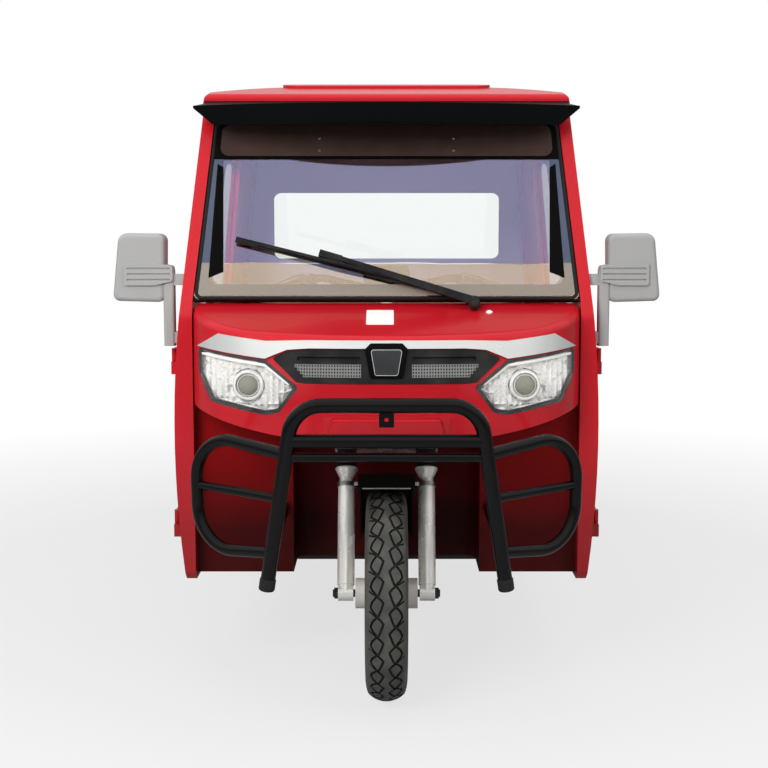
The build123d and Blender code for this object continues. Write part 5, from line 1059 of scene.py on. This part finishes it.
PAD_CLEARANCE = 0.4 * MM
PAD_VOXEL = 7.5 * MM
PAD_PRESSURE = 4.0
PAD_FRAMES = 20
PAD_MOST = 16.0 * MM  # furthest that pressure may move a point
CHANNELS = (-220.0 * MM, 0.0, 220.0 * MM)  # sewn lines across the bench
CHANNEL_HALF = CHANNEL_DEPTH = 9.0 * MM
CHANNEL_EASE = 20.0 * MM  # the pull fades in over this distance from the pad's middle


def bake(made):
    """Applies an object's modifiers to its mesh."""
    shown = made.evaluated_get(bpy.context.evaluated_depsgraph_get())
    mesh = bpy.data.meshes.new_from_object(shown)
    made.modifiers.clear()
    made.data = mesh


def padded_seat(name, node, shrink, lean):
    """Foam pad under vinyl: the CAD block swollen by cloth pressure, then drawn in along its sewn lines."""
    mesh = frame["nodes"][node].data.copy()
    made = bpy.data.objects.new(name, mesh)
    bpy.context.scene.collection.objects.link(made)
    low, high = (Vector(c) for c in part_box(node))
    middle = (low + high) / 2
    for vertex in mesh.vertices:
        for axis in range(3):
            reach = high[axis] - middle[axis]
            share = (reach - shrink[axis] * MM) / reach
            vertex.co[axis] = middle[axis] + (vertex.co[axis] - middle[axis]) * share
    voxels = made.modifiers.new("even_mesh", "REMESH")
    voxels.mode = "VOXEL"
    voxels.voxel_size = PAD_VOXEL
    bake(made)
    start = [v.co.copy() for v in made.data.vertices]
    cloth = made.modifiers.new("pressure", "CLOTH")
    cloth.settings.use_pressure = True
    cloth.settings.uniform_pressure_force = PAD_PRESSURE
    cloth.settings.effector_weights.gravity = 0.0
    cloth.settings.quality = 5
    cloth.point_cache.frame_start, cloth.point_cache.frame_end = 1, PAD_FRAMES
    for step in range(1, PAD_FRAMES + 1):
        bpy.context.scene.frame_set(step)
    bake(made)
    bpy.context.scene.frame_set(1)
    for vertex, rest in zip(made.data.vertices, start):
        moved = vertex.co - rest
        if moved.length > PAD_MOST:
            vertex.co = rest + moved.normalized() * PAD_MOST
    # Pressure draws the rim in as the faces swell, so the pad is let out again to its foam's space.
    for axis in range(3):
        least, most = (pick(v.co[axis] for v in made.data.vertices) for pick in (min, max))
        room = high[axis] - low[axis] - 2 * PAD_CLEARANCE
        for vertex in made.data.vertices:
            vertex.co[axis] = low[axis] + PAD_CLEARANCE + (vertex.co[axis] - least) / (most - least) * room
    # Sewn channels: the face is drawn in along lines across the width, most at the stitching.
    across = Vector((0, -math.cos(lean), math.sin(lean)))
    for vertex in made.data.vertices:
        pull = max(math.exp(-((vertex.co.x - line) / CHANNEL_HALF) ** 2) for line in CHANNELS)
        side = (vertex.co - middle).dot(across)
        if side > 0:
            vertex.co -= across * (pull * CHANNEL_DEPTH * min(1.0, side / CHANNEL_EASE))
    smooth = made.modifiers.new("smooth", "SUBSURF")
    smooth.levels = smooth.render_levels = 1
    made.data.shade_smooth()
    made.data.materials.clear()
    made.data.materials.append(VINYL)
    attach(made, "chassis")
    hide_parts(node)
    return made


def seats():
    """Bench cushion and backrest, with piping sewn round the cushion's front edge."""
    cushion = padded_seat("bench_cushion", "seat_cushion", (14.0, 12.0, 9.0), math.radians(88.0))
    padded_seat("bench_backrest", "seat_back", (14.0, 10.0, 12.0), math.radians(10.0))
    low, high = (FROM_FRAME @ Vector(corner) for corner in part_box("seat_cushion"))
    half, front, seam_z = high.x, low.y, high.z - 20.0
    corners = [(-half, front + 330.0), (-half, front), (half, front), (half, front + 330.0)]
    edge = rounded([(x, aft, seam_z) for x, aft in corners], 40.0, 8, closed=False)
    mesh = cushion.data
    skin = BVHTree.FromPolygons([v.co for v in mesh.vertices], [f.vertices for f in mesh.polygons])
    seam = []
    for start, end in zip(edge, edge[1:]):
        steps = math.ceil((end - start).length / 25.0)
        for k in range(steps):
            spot = skin.find_nearest(TO_FRAME @ start.lerp(end, k / steps))[0]
            seam.append(FROM_FRAME @ spot)
    piece("bench_piping", "chassis", PIPING, [tube(seam, 4.0, sides=8)])


def lining():
    """Grey lining board on the rear wall, cut out round the window."""
    front = (FROM_FRAME @ Vector(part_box("rear_wall")[0])).y - 4.4
    half, shoulder, waist, top, bottom = 497.0, 451.0, 1045.0, 1548.0, 640.0
    hole = [tuple(p) for p in panel(-404.0, 404.0, 1128.0, 1362.0, 30.0, 5)]
    right = [(half, bottom), (half, waist), (shoulder, top)]
    board = right + [(-x, z) for x, z in reversed(right)]
    edges = []
    for start, count in ((0, len(board)), (len(board), len(hole))):
        edges += [(start + i, start + (i + 1) % count) for i in range(count)]
    points = [Vector(p) for p in board + hole]
    flat, _, triangles, _, _, _ = delaunay_2d_cdt(points, edges, [], 1, 1e-4)
    bm = bmesh.new()
    verts = [bm.verts.new((x, front, z)) for x, z in flat]
    for triangle in triangles:
        middle = sum((flat[i] for i in triangle), Vector((0, 0))) / 3
        if not inside(tuple(middle), hole):
            bm.faces.new([verts[i] for i in triangle])
    piece("rear_lining", "chassis", LINING, [thickened(bm, (0, 4.0, 0))], 30.0)


seats()
lining()


# Doors, drip rails and rear window

DOOR_INSIDE = 513.0  # half-width at which the doors' trim starts


def side_of(node, aft, z):
    """Outermost X of a CAD node on the left at an aft distance and a height."""
    return struck(node, (900.0, aft, z), (-1, 0, 0))[0].x


def window_edge(grow):
    """Left door's window outline just outside its leaning pane."""
    corners = [(301.0, 1017.0), (440.0, 1443.0), (1043.0, 1443.0), (1043.0, 1017.0)]
    edge = rounded(stretched(corners, grow), 40.0 + grow, 8)
    return [Vector((541.0 - (z - 1010.0) * 0.0874, aft, z)) for aft, z in edge]


def left_door_fittings():
    """Window seal, lock and inside trim of the left door: name, then slot, finish and shapes."""
    left, right = Vector((1, 0, 0)), Vector((-1, 0, 0))
    seal = tube(window_edge(4.0), 7.0, True, 8, lift=left)
    lock_at = Vector((side_of("left_door", 1022.0, 846.0), 1022.0, 846.0))
    lock = [(0, 3.2), (4.0, 3.2), (4.6, 4.0), (11.0, 4.0), (12.5, 2.5), (13.0, -3.0)]
    barrel = spin(lock, 24, facing(*lock_at, left))
    # Dark slab on the lock's face: painted shade in the keyway.
    keyway_shade = slab(rectangle(-0.9, 0.9, -3.4, 3.4), 0.6, facing(*(lock_at + left * 3.1), left))
    card = slab(panel(250.0, 1060.0, 395.0, 965.0, 45.0, 6), 6.0, ON_SIDE @ flat_at(DOOR_INSIDE), 2.0)
    rest_edge = panel(420.0, 960.0, 640.0, 730.0, 25.0, 6)
    rest = slab(rest_edge, 34.0, ON_SIDE @ flat_at(DOOR_INSIDE - 28.0), 9.0, 3)
    lever_path = [(DOOR_INSIDE, 930.0, 850.0), (497.0, 930.0, 850.0), (497.0, 850.0, 846.0)]
    lever = rod(lever_path, 10.0, 5, 6.5, flat=0.7)
    boss = [(26.0, 0), (26.0, 6.0), (20.0, 11.0), (0, 12.0)]
    crank = [(501.0, 560.0, 820.0), (496.0, 600.0, 790.0), (494.0, 632.0, 764.0)]
    knob = [(10.0, 0), (11.0, 6.0), (11.0, 20.0), (8.0, 25.0), (0, 26.0)]
    winder = [
        spin(boss, 24, facing(DOOR_INSIDE, 560.0, 820.0, right)),
        tube(crank, 6.0, flat=0.6),
        spin(knob, 18, facing(496.0, 632.0, 764.0, right)),
    ]
    return {
        "window_seal": ("tyre_rubber", SEAL, [seal]),
        "lock_barrel": ("spring_steel", ZINC, [barrel]),
        "lock_keyway": ("dark_plastic", DARK_ABS, [keyway_shade]),
        "trim_card": ("grey_plastic", LINING, [card]),
        "arm_rest": ("dark_plastic", DARK_ABS, [rest]),
        "inner_handles": ("black_plastic", BLACK_ABS, [lever] + winder),
    }


def doors():
    """The same fittings on both doors."""
    for side in ("left", "right"):
        for name, (slot, material, shapes) in left_door_fittings().items():
            shown = shapes if side == "left" else mirrored(shapes)
            piece(side + "_door_" + name, side + "_door", material, shown, 40.0)


def cab_seals():
    """Drip rails under the roof's sides and the rubber round the rear window."""
    rail = tube([(504.0, 300.0 + 116.0 * k, 1572.0) for k in range(11)], 6.0, sides=8, flat=1.3)
    piece("roof_drip_rails", "chassis", SEAL, pair([rail]))
    loop = [(x, 1450.5, z) for x, z in panel(-412.0, 412.0, 1120.0, 1370.0, 32.0, 8)]
    piece("rear_window_seal", "chassis", SEAL, [tube(loop, 8.0, True, 10, lift=AFT)])


# Steering: bellows, fork clips, mudguard edge and handlebar controls

def fork_fittings():
    """Rubber bellows over the stanchions, guide clips under the collars, bolts on the crown, and a bright
    line on the guard's edge that paints its highlight.
    """
    bellows, clips, bolts = [], [], []
    folds = [(24.0 + (4.0 if k % 2 else 0.0), 341.0 + 4.9 * k) for k in range(12)]
    axis = STEER_TURN @ Vector((0, 0, 1))
    for side in (-1, 1):
        foot = STEER @ Vector((side * 108.0, -FORK_OFFSET, 0))
        up = facing(*foot, axis, (0, -1, 0))
        bellows.append(spin([(22.4, 340.5)] + folds + [(22.4, 395.5)], 32, up))
        clips.append(spin([(23.2, 288.0), (25.5, 288.0), (25.5, 300.0), (23.2, 300.0)], 28, up))
        tab_at = Matrix.Translation(STEER @ Vector((side * 79.0, -FORK_OFFSET - 16.0, 294.0)))
        clips.append(slab(rectangle(-9.0, 9.0, -5.0, 5.0), 4.0, tab_at @ upright(0), 1.2))
        for forward in (12.0, 78.0):
            spot = STEER @ Vector((side * 124.0, -forward + 12.0, 430.0))
            bolts += hex_bolt(*spot, axis, 6.5)
    piece("fork_bellows", "steering", SEAL, bellows, 60.0)
    piece("fork_guide_clips", "steering", ZINC, clips)
    piece("fork_crown_bolts", "steering", ZINC, bolts)
    # Thin zinc line along the guard's lower front edge: a painted highlight.
    turn, guard_r = math.radians(17.0), 313.0
    lip_aft, lip_z = -guard_r * math.sin(turn) - 1.5, AXLE_Z + guard_r * math.cos(turn)
    lip = [(x, lip_aft, lip_z) for x in (-62.0, -20.0, 20.0, 62.0)]
    piece("mudguard_edge_painted_highlight", "steering", ZINC, [tube(lip, 1.9, sides=8)])


def handlebar_controls():
    """Ribbed grips, brake levers on their perches, switch pods and a blank display on the clamp."""
    rise = 887.0
    switch_out = STEER_TURN @ Vector((0, 0.9, 0.45))
    ahead = (STEER_TURN @ Vector((0, -1, 0.25))).normalized()
    grips, levers, pods = [], [], []
    for side in (-1, 1):
        end = STEER @ Vector((side * 345.0, 85.0, rise + 10.0))
        bend = STEER @ Vector((side * 190.0, -10.0, rise + 25.0))
        inward = (bend - end).normalized()
        along = facing(*(end - inward * 3.0), inward)
        profile = [(0, -1.0), (14.0, -1.0), (19.5, 2.0), (19.5, 9.0), (17.0, 12.0)]
        for k in range(13):
            rib = 12.0 + 8.0 * k
            profile += [(17.0, rib), (18.6, rib + 2.0), (18.6, rib + 5.0), (17.0, rib + 7.0)]
        profile += [(22.0, 118.0), (22.0, 124.0), (11.5, 125.0)]
        grips.append(spin(profile, 28, along))
        perch = end + inward * 142.0
        pods.append(tube([perch - inward * 18.0, perch + inward * 18.0], 19.0, sides=14))
        lamp_switch = facing(*(perch + switch_out * 16.0), switch_out)
        pods.append(slab(panel(-13.0, 13.0, -10.0, 10.0, 4.0, 4), 6.0, lamp_switch, 1.5))
        tip = end - inward * 4.0 + ahead * 42.0
        knee = perch + ahead * 46.0 - inward * 40.0
        path = [perch + ahead * 14.0, perch + ahead * 36.0, knee, tip + inward * 40.0, tip]
        levers.append(rod(path, 16.0, 5, 5.2, flat=0.75))
        levers.append(spin([(8.0, -1.5), (8.0, 4.0), (0, 4.6)], 16, facing(*tip, -inward)))
    piece("handlebar_grips", "steering", SEAL, grips, 60.0)
    piece("brake_levers", "steering", ALLOY, levers)
    piece("switch_pods", "steering", DARK_ABS, pods, 40.0)
    back = (STEER_TURN @ Vector((0, 0.75, 0.66))).normalized()
    spot = STEER @ Vector((0, -6.0, rise + 20.0))
    place = facing(*spot, back, (0, -1, 1))
    shell = rounded([(-62.0, -36.0), (62.0, -36.0), (70.0, 36.0), (-70.0, 36.0)], 14.0, 6)
    piece("display_shell", "steering", BLACK_ABS, [slab(shell, 24.0, place, 4.0, 3)], 40.0)
    glass = rounded([(-52.0, -27.0), (52.0, -27.0), (58.0, 27.0), (-58.0, 27.0)], 8.0, 5)
    window = slab(glass, 1.2, place @ flat_at(23.8))
    piece("display_window", "steering", VISOR_ABS, [window])


# Dashboard, pedal and floor

def dash_fittings():
    """Turned knobs, round vents and a lidded box along the dashboard's rear, and the brake pedal's rubber."""
    knobs, vents = [], []
    for x in (215.0, 262.0, 309.0):
        hit, normal = struck("dashboard", (x, 900.0, 948.0), (0, -1, 0))
        profile = [(17.0, 0), (17.0, 2.0), (12.5, 4.0), (11.5, 15.0), (9.5, 17.0), (0, 17.5)]
        knobs.append(spin(profile, 24, facing(x, hit.y, hit.z, normal)))
        mark = facing(*(hit + normal * 17.2), normal)
        knobs.append(slab(rectangle(-1.2, 1.2, 0.0, 9.0), 1.2, mark))
    for x in (-440.0, 440.0):
        hit, normal = struck("dashboard", (x, 900.0, 945.0), (0, -1, 0))
        place = facing(x, hit.y, hit.z, normal)
        vents.append(spin([(34.0, -1.0), (34.0, 4.0), (29.0, 6.0), (27.0, 1.0), (27.0, -1.0)], 32, place))
        for y in (-16.0, -8.0, 0.0, 8.0, 16.0):
            half = math.sqrt(27.5 ** 2 - y ** 2)
            vents.append(slab(rectangle(-half, half, y - 1.2, y + 1.2), 3.5, place))
    piece("dash_knobs", "chassis", BLACK_ABS, knobs)
    piece("dash_vents", "chassis", BLACK_ABS, vents)
    hit, normal = struck("dashboard", (-230.0, 900.0, 945.0), (0, -1, 0))
    place = facing(-230.0, hit.y, hit.z, normal)
    lid = slab(panel(-110.0, 110.0, -24.0, 24.0, 9.0, 5), 3.5, place, 1.2)
    catch = slab(panel(-16.0, 16.0, 8.0, 18.0, 3.0, 3), 7.0, place, 1.5)
    piece("dash_box_lid", "chassis", DARK_ABS, [lid, catch])
    low, slope = Vector((-140.0, 441.5, 469.0)), Vector((0, 33.0, 26.0)).normalized()
    out = Vector((0, -slope.z, slope.y))
    ribs = []
    for k in range(5):
        spot = low + slope * (7.0 + 7.2 * k) + out * 8.0
        ribs.append(tube([spot + Vector((-33.0, 0, 0)), spot + Vector((33.0, 0, 0))], 2.6, sides=8))
    piece("brake_pedal_ribs", "chassis", SEAL, ribs)


def floor_mat():
    """Ribbed rubber mat over the foot space."""
    front, rear, half, base_z = 440.0, 740.0, 430.0, 343.5
    steps = 94
    bm = bmesh.new()
    rows = []
    for k in range(steps + 1):
        aft, z = front + (rear - front) * k / steps, base_z + (3.5 if k % 2 else 5.5)
        rows.append([bm.verts.new((x, aft, z)) for x in (-half, half)])
    base = [bm.verts.new((x, aft, base_z)) for x, aft in rectangle(-half, half, front, rear)]
    for first, second in zip(rows, rows[1:]):
        bm.faces.new([first[0], first[1], second[1], second[0]])
    bm.faces.new(base[::-1])
    bm.faces.new([base[0], base[1], rows[0][1], rows[0][0]])
    bm.faces.new([base[2], base[3], rows[-1][0], rows[-1][1]])
    bm.faces.new([base[1], base[2]] + [row[1] for row in reversed(rows)])
    bm.faces.new([base[3], base[0]] + [row[0] for row in rows])
    bmesh.ops.recalc_face_normals(bm, faces=bm.faces)
    piece("floor_mat", "chassis", SEAL, [bm], 25.0)


# Bull bar and wheels

def bull_bar_fittings():
    """Rubber ferrules on the feet and the bolt on the middle tab."""
    foot, crown = Vector((292.0, -292.0, 368.0)), Vector((222.0, -330.0, 824.0))
    up = (crown - foot).normalized()
    ferrule = [(0, -2.5), (15.0, -2.5), (18.5, -1.0), (20.0, 2.0), (20.0, 26.0), (18.4, 28.0)]
    piece("bull_bar_feet", "chassis", SEAL, pair([spin(ferrule, 28, facing(*foot, up))]))
    hit, _ = struck("bull_bar", (0.0, -900.0, 790.0), AFT)
    if hit is not None:
        piece("bull_bar_tab_bolt", "chassis", ZINC, hex_bolt(*hit, -AFT, 8.0))


def wheel_fittings():
    """Wheel nuts and valve stems, and hub caps on the rear wheels."""
    nut_count, nut_circle = 5, 54.0
    cap = [(36.0, 0.0), (36.0, 5.0), (33.0, 11.0), (26.0, 15.0), (14.0, 17.0), (0, 17.5)]
    stem = [(0, 30.0), (4.0, 30.0), (4.0, 20.0), (3.0, 19.0), (3.0, 10.0), (5.5, 6.0), (6.5, -3.0)]
    for name, x, aft, side in WHEELS:
        body, out = name + "_wheel", (side, 0, 0)
        nuts = []
        for k in range(nut_count):
            turn = 2 * math.pi * (k + 0.25) / nut_count
            spot = (x + side * 300.0, aft + nut_circle * math.sin(turn), AXLE_Z + nut_circle * math.cos(turn))
            hit, _ = struck(name + "_rim", spot, (-side, 0, 0))
            if hit is not None:
                nuts += hex_bolt(*hit, out, 10.0, 13.0)
        piece(name + "_wheel_nuts", body, ZINC, nuts)
        if name != "front":
            shape = spin(cap, 36, facing(x + side * 51.0, aft, AXLE_Z, out))
            piece(name + "_hub_cap", body, BLACK_ABS, [shape])
        shape = spin(stem, 14, facing(x + side * 22.0, aft, AXLE_Z + 142.0, (side, 0, -0.6)))
        piece(name + "_valve_stem", body, SEAL, [shape])


# Load bed, rear and running gear

def gate_fittings():
    """Lever latches at the gates' upper corners, each on its plate."""
    plate = panel(-13.0, 13.0, -32.0, 32.0, 5.0, 4)
    for side, name in ((1, "left_gate"), (-1, "right_gate")):
        plates, levers = [], []
        for aft in (1532.0, 2868.0):
            plates.append(slab(plate, 3.0, facing(side * 593.2, aft, 868.0, (side, 0, 0)), 0.8))
            path = [(side * 597.0, aft, 892.0), (side * 608.0, aft, 880.0), (side * 610.0, aft, 826.0)]
            levers.append(rod(path, 8.0, 4, 5.0, flat=0.8))
            pin = [(6.0, -15.0), (6.0, 15.0), (0, 15.6)]
            levers.append(spin(pin, 14, facing(side * 599.0, aft, 886.0, AFT)))
        piece(name + "_latch_plates", name, ZINC, plates)
        piece(name + "_latch_levers", name, ZINC, levers)
    plates, levers = [], []
    for x in (-560.0, 560.0):
        plates.append(slab(plate, 3.0, facing(x, 2937.2, 868.0, AFT), 0.8))
        path = [(x, 2941.0, 894.0), (x, 2952.0, 882.0), (x, 2954.0, 830.0)]
        levers.append(rod(path, 8.0, 4, 5.0, flat=0.8))
    piece("tailgate_latch_plates", "tailgate", ZINC, plates)
    piece("tailgate_latch_levers", "tailgate", ZINC, levers)


def rope_hooks():
    """Bent rod hooks under the bed's edge."""
    hooks = []
    for aft in (1700.0, 1950.0, 2450.0, 2700.0):
        bends = ((560.0, 606.0), (580.0, 600.0), (588.0, 578.0), (578.0, 560.0), (566.0, 566.0))
        hooks.append(rod([(x, aft, z) for x, z in bends], 9.0, 4, 4.5, sides=8))
    piece("rope_hooks", "chassis", ZINC, pair(hooks))


def tail_lamp_cells():
    """Rims round the tail lamps, with amber and clear cells in the red lens."""
    rim = [(x, 2899.0, z) for x, z in panel(398.0, 542.0, 546.5, 609.5, 9.0, 5)]
    shell = tube(rim, 3.5, True, 8, lift=AFT)
    amber, clear = (
        slab(panel(left, right, 553.0, 603.0, 5.0, 4), 3.0, upright(2908.4), 1.0)
        for left, right in ((404.0, 440.0), (444.0, 474.0))
    )
    piece("tail_lamp_rims", "chassis", BLACK_ABS, pair([shell]))
    piece("tail_lamp_amber_cells", "chassis", AMBER_LENS, pair([amber]))
    piece("tail_lamp_clear_cells", "chassis", OPAL, pair([clear]))


def rear_reflectors():
    """Two round red reflectors under the tailgate."""
    dome = [(0, 7.0), (16.0, 6.5), (24.0, 5.0), (26.0, 2.0), (26.0, 0.0)]
    rings, lenses = [], []
    for x in (-230.0, 230.0):
        place = facing(x, 2892.0, 584.0, AFT)
        lenses.append(spin(dome, 32, place))
        rings.append(spin([(29.0, 0), (29.0, 4.0), (26.5, 5.0), (25.8, 1.0)], 32, place))
    piece("rear_reflectors", "chassis", RED_LENS, lenses)
    piece("rear_reflector_rings", "chassis", ZINC, rings)


def running_gear():
    """Spring U-bolts and clamp plates, mud flaps behind the rear wheels and the motor's terminal box."""
    up = (0, 0, 1)
    inner, outer = 278.0, 342.0  # the U-bolts' legs each side of the spring
    bolts = []
    for aft in (WHEELBASE - 38.0, WHEELBASE + 38.0):
        for x in (inner, outer):
            bolts.append(tube([(x, aft, 236.0), (x, aft, 300.0), (x, aft, 372.0)], 6.0))
            bolts += hex_bolt(x, aft, 366.0, up, 9.0)
        bend = [(inner, aft, 262.0), (inner, aft, 238.0), (outer, aft, 238.0), (outer, aft, 262.0)]
        bolts.append(rod(bend, 12.0, 5, 6.0))
    clamp_edge = panel(inner - 10.0, outer + 10.0, WHEELBASE - 56.0, WHEELBASE + 56.0, 8.0, 4)
    clamp = slab(clamp_edge, 9.0, flat_at(357.0), 1.5)
    piece("spring_u_bolts", "chassis", ZINC, pair(bolts))
    piece("spring_clamp_plates", "chassis", BLACK_CHASSIS, pair([clamp]))
    flap = slab(panel(412.0, 548.0, 190.0, 420.0, 14.0, 5), 5.0, upright(2455.0), 1.2)
    piece("mud_flaps", "chassis", SEAL, pair([flap]))
    lid = slab(panel(-34.0, 34.0, 1880.0, 1980.0, 8.0, 5), 26.0, flat_at(362.0), 3.0)
    screws = []
    for x, aft in rectangle(-25.0, 25.0, 1890.0, 1970.0):
        screws += hex_bolt(x, aft, 388.0, up, 4.0)
    piece("motor_terminal_box", "chassis", DARK_ABS, [lid], 40.0)
    piece("motor_box_screws", "chassis", ZINC, screws)


doors()
cab_seals()
fork_fittings()
handlebar_controls()
dash_fittings()
floor_mat()
bull_bar_fittings()
wheel_fittings()
gate_fittings()
rope_hooks()
tail_lamp_cells()
rear_reflectors()
running_gear()


# Camera, floor and light

camera = bpy.data.objects.new("camera", bpy.data.cameras.new("camera"))
bpy.context.scene.collection.objects.link(camera)
camera.location = TO_FRAME @ Vector((0, -3600.0, 1250.0))  # worked out from the photograph, as is the tilt
camera.rotation_euler = (math.radians(90.0 - 6.53), 0, 0)
camera.data.lens = 65.2
camera.data.sensor_width = 36.0
camera.data.shift_x = -2.5 / 768.0
bpy.context.scene.camera = camera


def studio():
    """Pale floor that fades into a white surround, softboxes above, ahead and behind, and low even light."""
    bpy.context.scene.view_settings.view_transform = "Standard"
    mesh = bpy.data.meshes.new("studio_floor")
    mesh.from_pydata([(-40, -40, 0), (40, -40, 0), (40, 40, 0), (-40, 40, 0)], [], [(0, 1, 2, 3)])
    floor = bpy.data.objects.new("studio_floor", mesh)
    bpy.context.scene.collection.objects.link(floor)
    material, tree, shader, place = surface("pale_studio_floor", "#b4b4b4", Roughness=0.9)
    mesh.materials.append(material)
    distance = add(tree, "VectorMath", {0: place}, "Value", operation="LENGTH")
    far = add(tree, "MapRange", {0: distance, 1: 1.5, 2: 4.0, 3: 0.72, 4: 1.0})
    eye = add(tree, "LightPath", {}, "Is Camera Ray")
    through = add(tree, "LightPath", {}, "Is Transmission Ray")
    shown = add(tree, "Math", {0: eye, 1: through}, operation="MAXIMUM")
    share = add(tree, "Math", {0: shown, 1: far}, operation="MULTIPLY")
    glow = add(tree, "Emission", {"Color": (1, 1, 1, 1), "Strength": 1.0})
    both = add(tree, "MixShader", {0: share, 1: shader.outputs[0], 2: glow})
    join(tree, tree.nodes["Material Output"], {"Surface": both})

    world = bpy.data.worlds.new("studio_surround")
    bpy.context.scene.world = world
    world.use_nodes = True
    tree = world.node_tree
    eye = add(tree, "LightPath", {}, "Is Camera Ray")
    through = add(tree, "LightPath", {}, "Is Transmission Ray")
    gloss = add(tree, "LightPath", {}, "Is Glossy Ray")
    shown = add(tree, "Math", {0: eye, 1: through}, operation="MAXIMUM")
    level = add(tree, "MapRange", {0: shown, 1: 0.0, 2: 1.0, 3: 0.3, 4: 1.0})
    upward = add(tree, "SeparateXYZ", {0: add(tree, "TexCoord", {}, "Generated")}, "Z")
    mirrored_level = add(tree, "MapRange", {0: upward, 1: 0.05, 2: 0.5, 3: 0.22, 4: 1.0})
    bounced = add(tree, "Math", {0: gloss, 1: through}, operation="SUBTRACT", use_clamp=True)
    level = add(tree, "Mix", {"Factor": bounced, 2: level, 3: mirrored_level}, data_type="FLOAT")
    join(tree, tree.nodes["Background"], {"Color": (1, 1, 1, 1), "Strength": level})

    boxes = (("top_softbox", (0.0, -1.2, 4.6), (0.0, -0.6, 0.8), 4.0, 85.0),
             ("left_softbox", (3.4, -4.6, 3.4), (0.0, -1.2, 0.9), 2.4, 70.0),
             ("right_softbox", (-2.4, -5.2, 3.2), (0.0, -1.2, 0.9), 2.4, 215.0),
             ("rear_softbox", (0.8, 4.2, 5.2), (0.0, 0.8, 0.6), 3.0, 60.0))
    for name, spot, target, size, power in boxes:
        lamp = bpy.data.lights.new(name, "AREA")
        lamp.size = size
        lamp.energy = power
        box = bpy.data.objects.new(name, lamp)
        bpy.context.scene.collection.objects.link(box)
        box.location = spot
        box.visible_glossy = box.visible_transmission = False  # the panes mirror the surround, not the lamps
        box.rotation_euler = (Vector(target) - Vector(spot)).to_track_quat("-Z", "Y").to_euler()


studio()
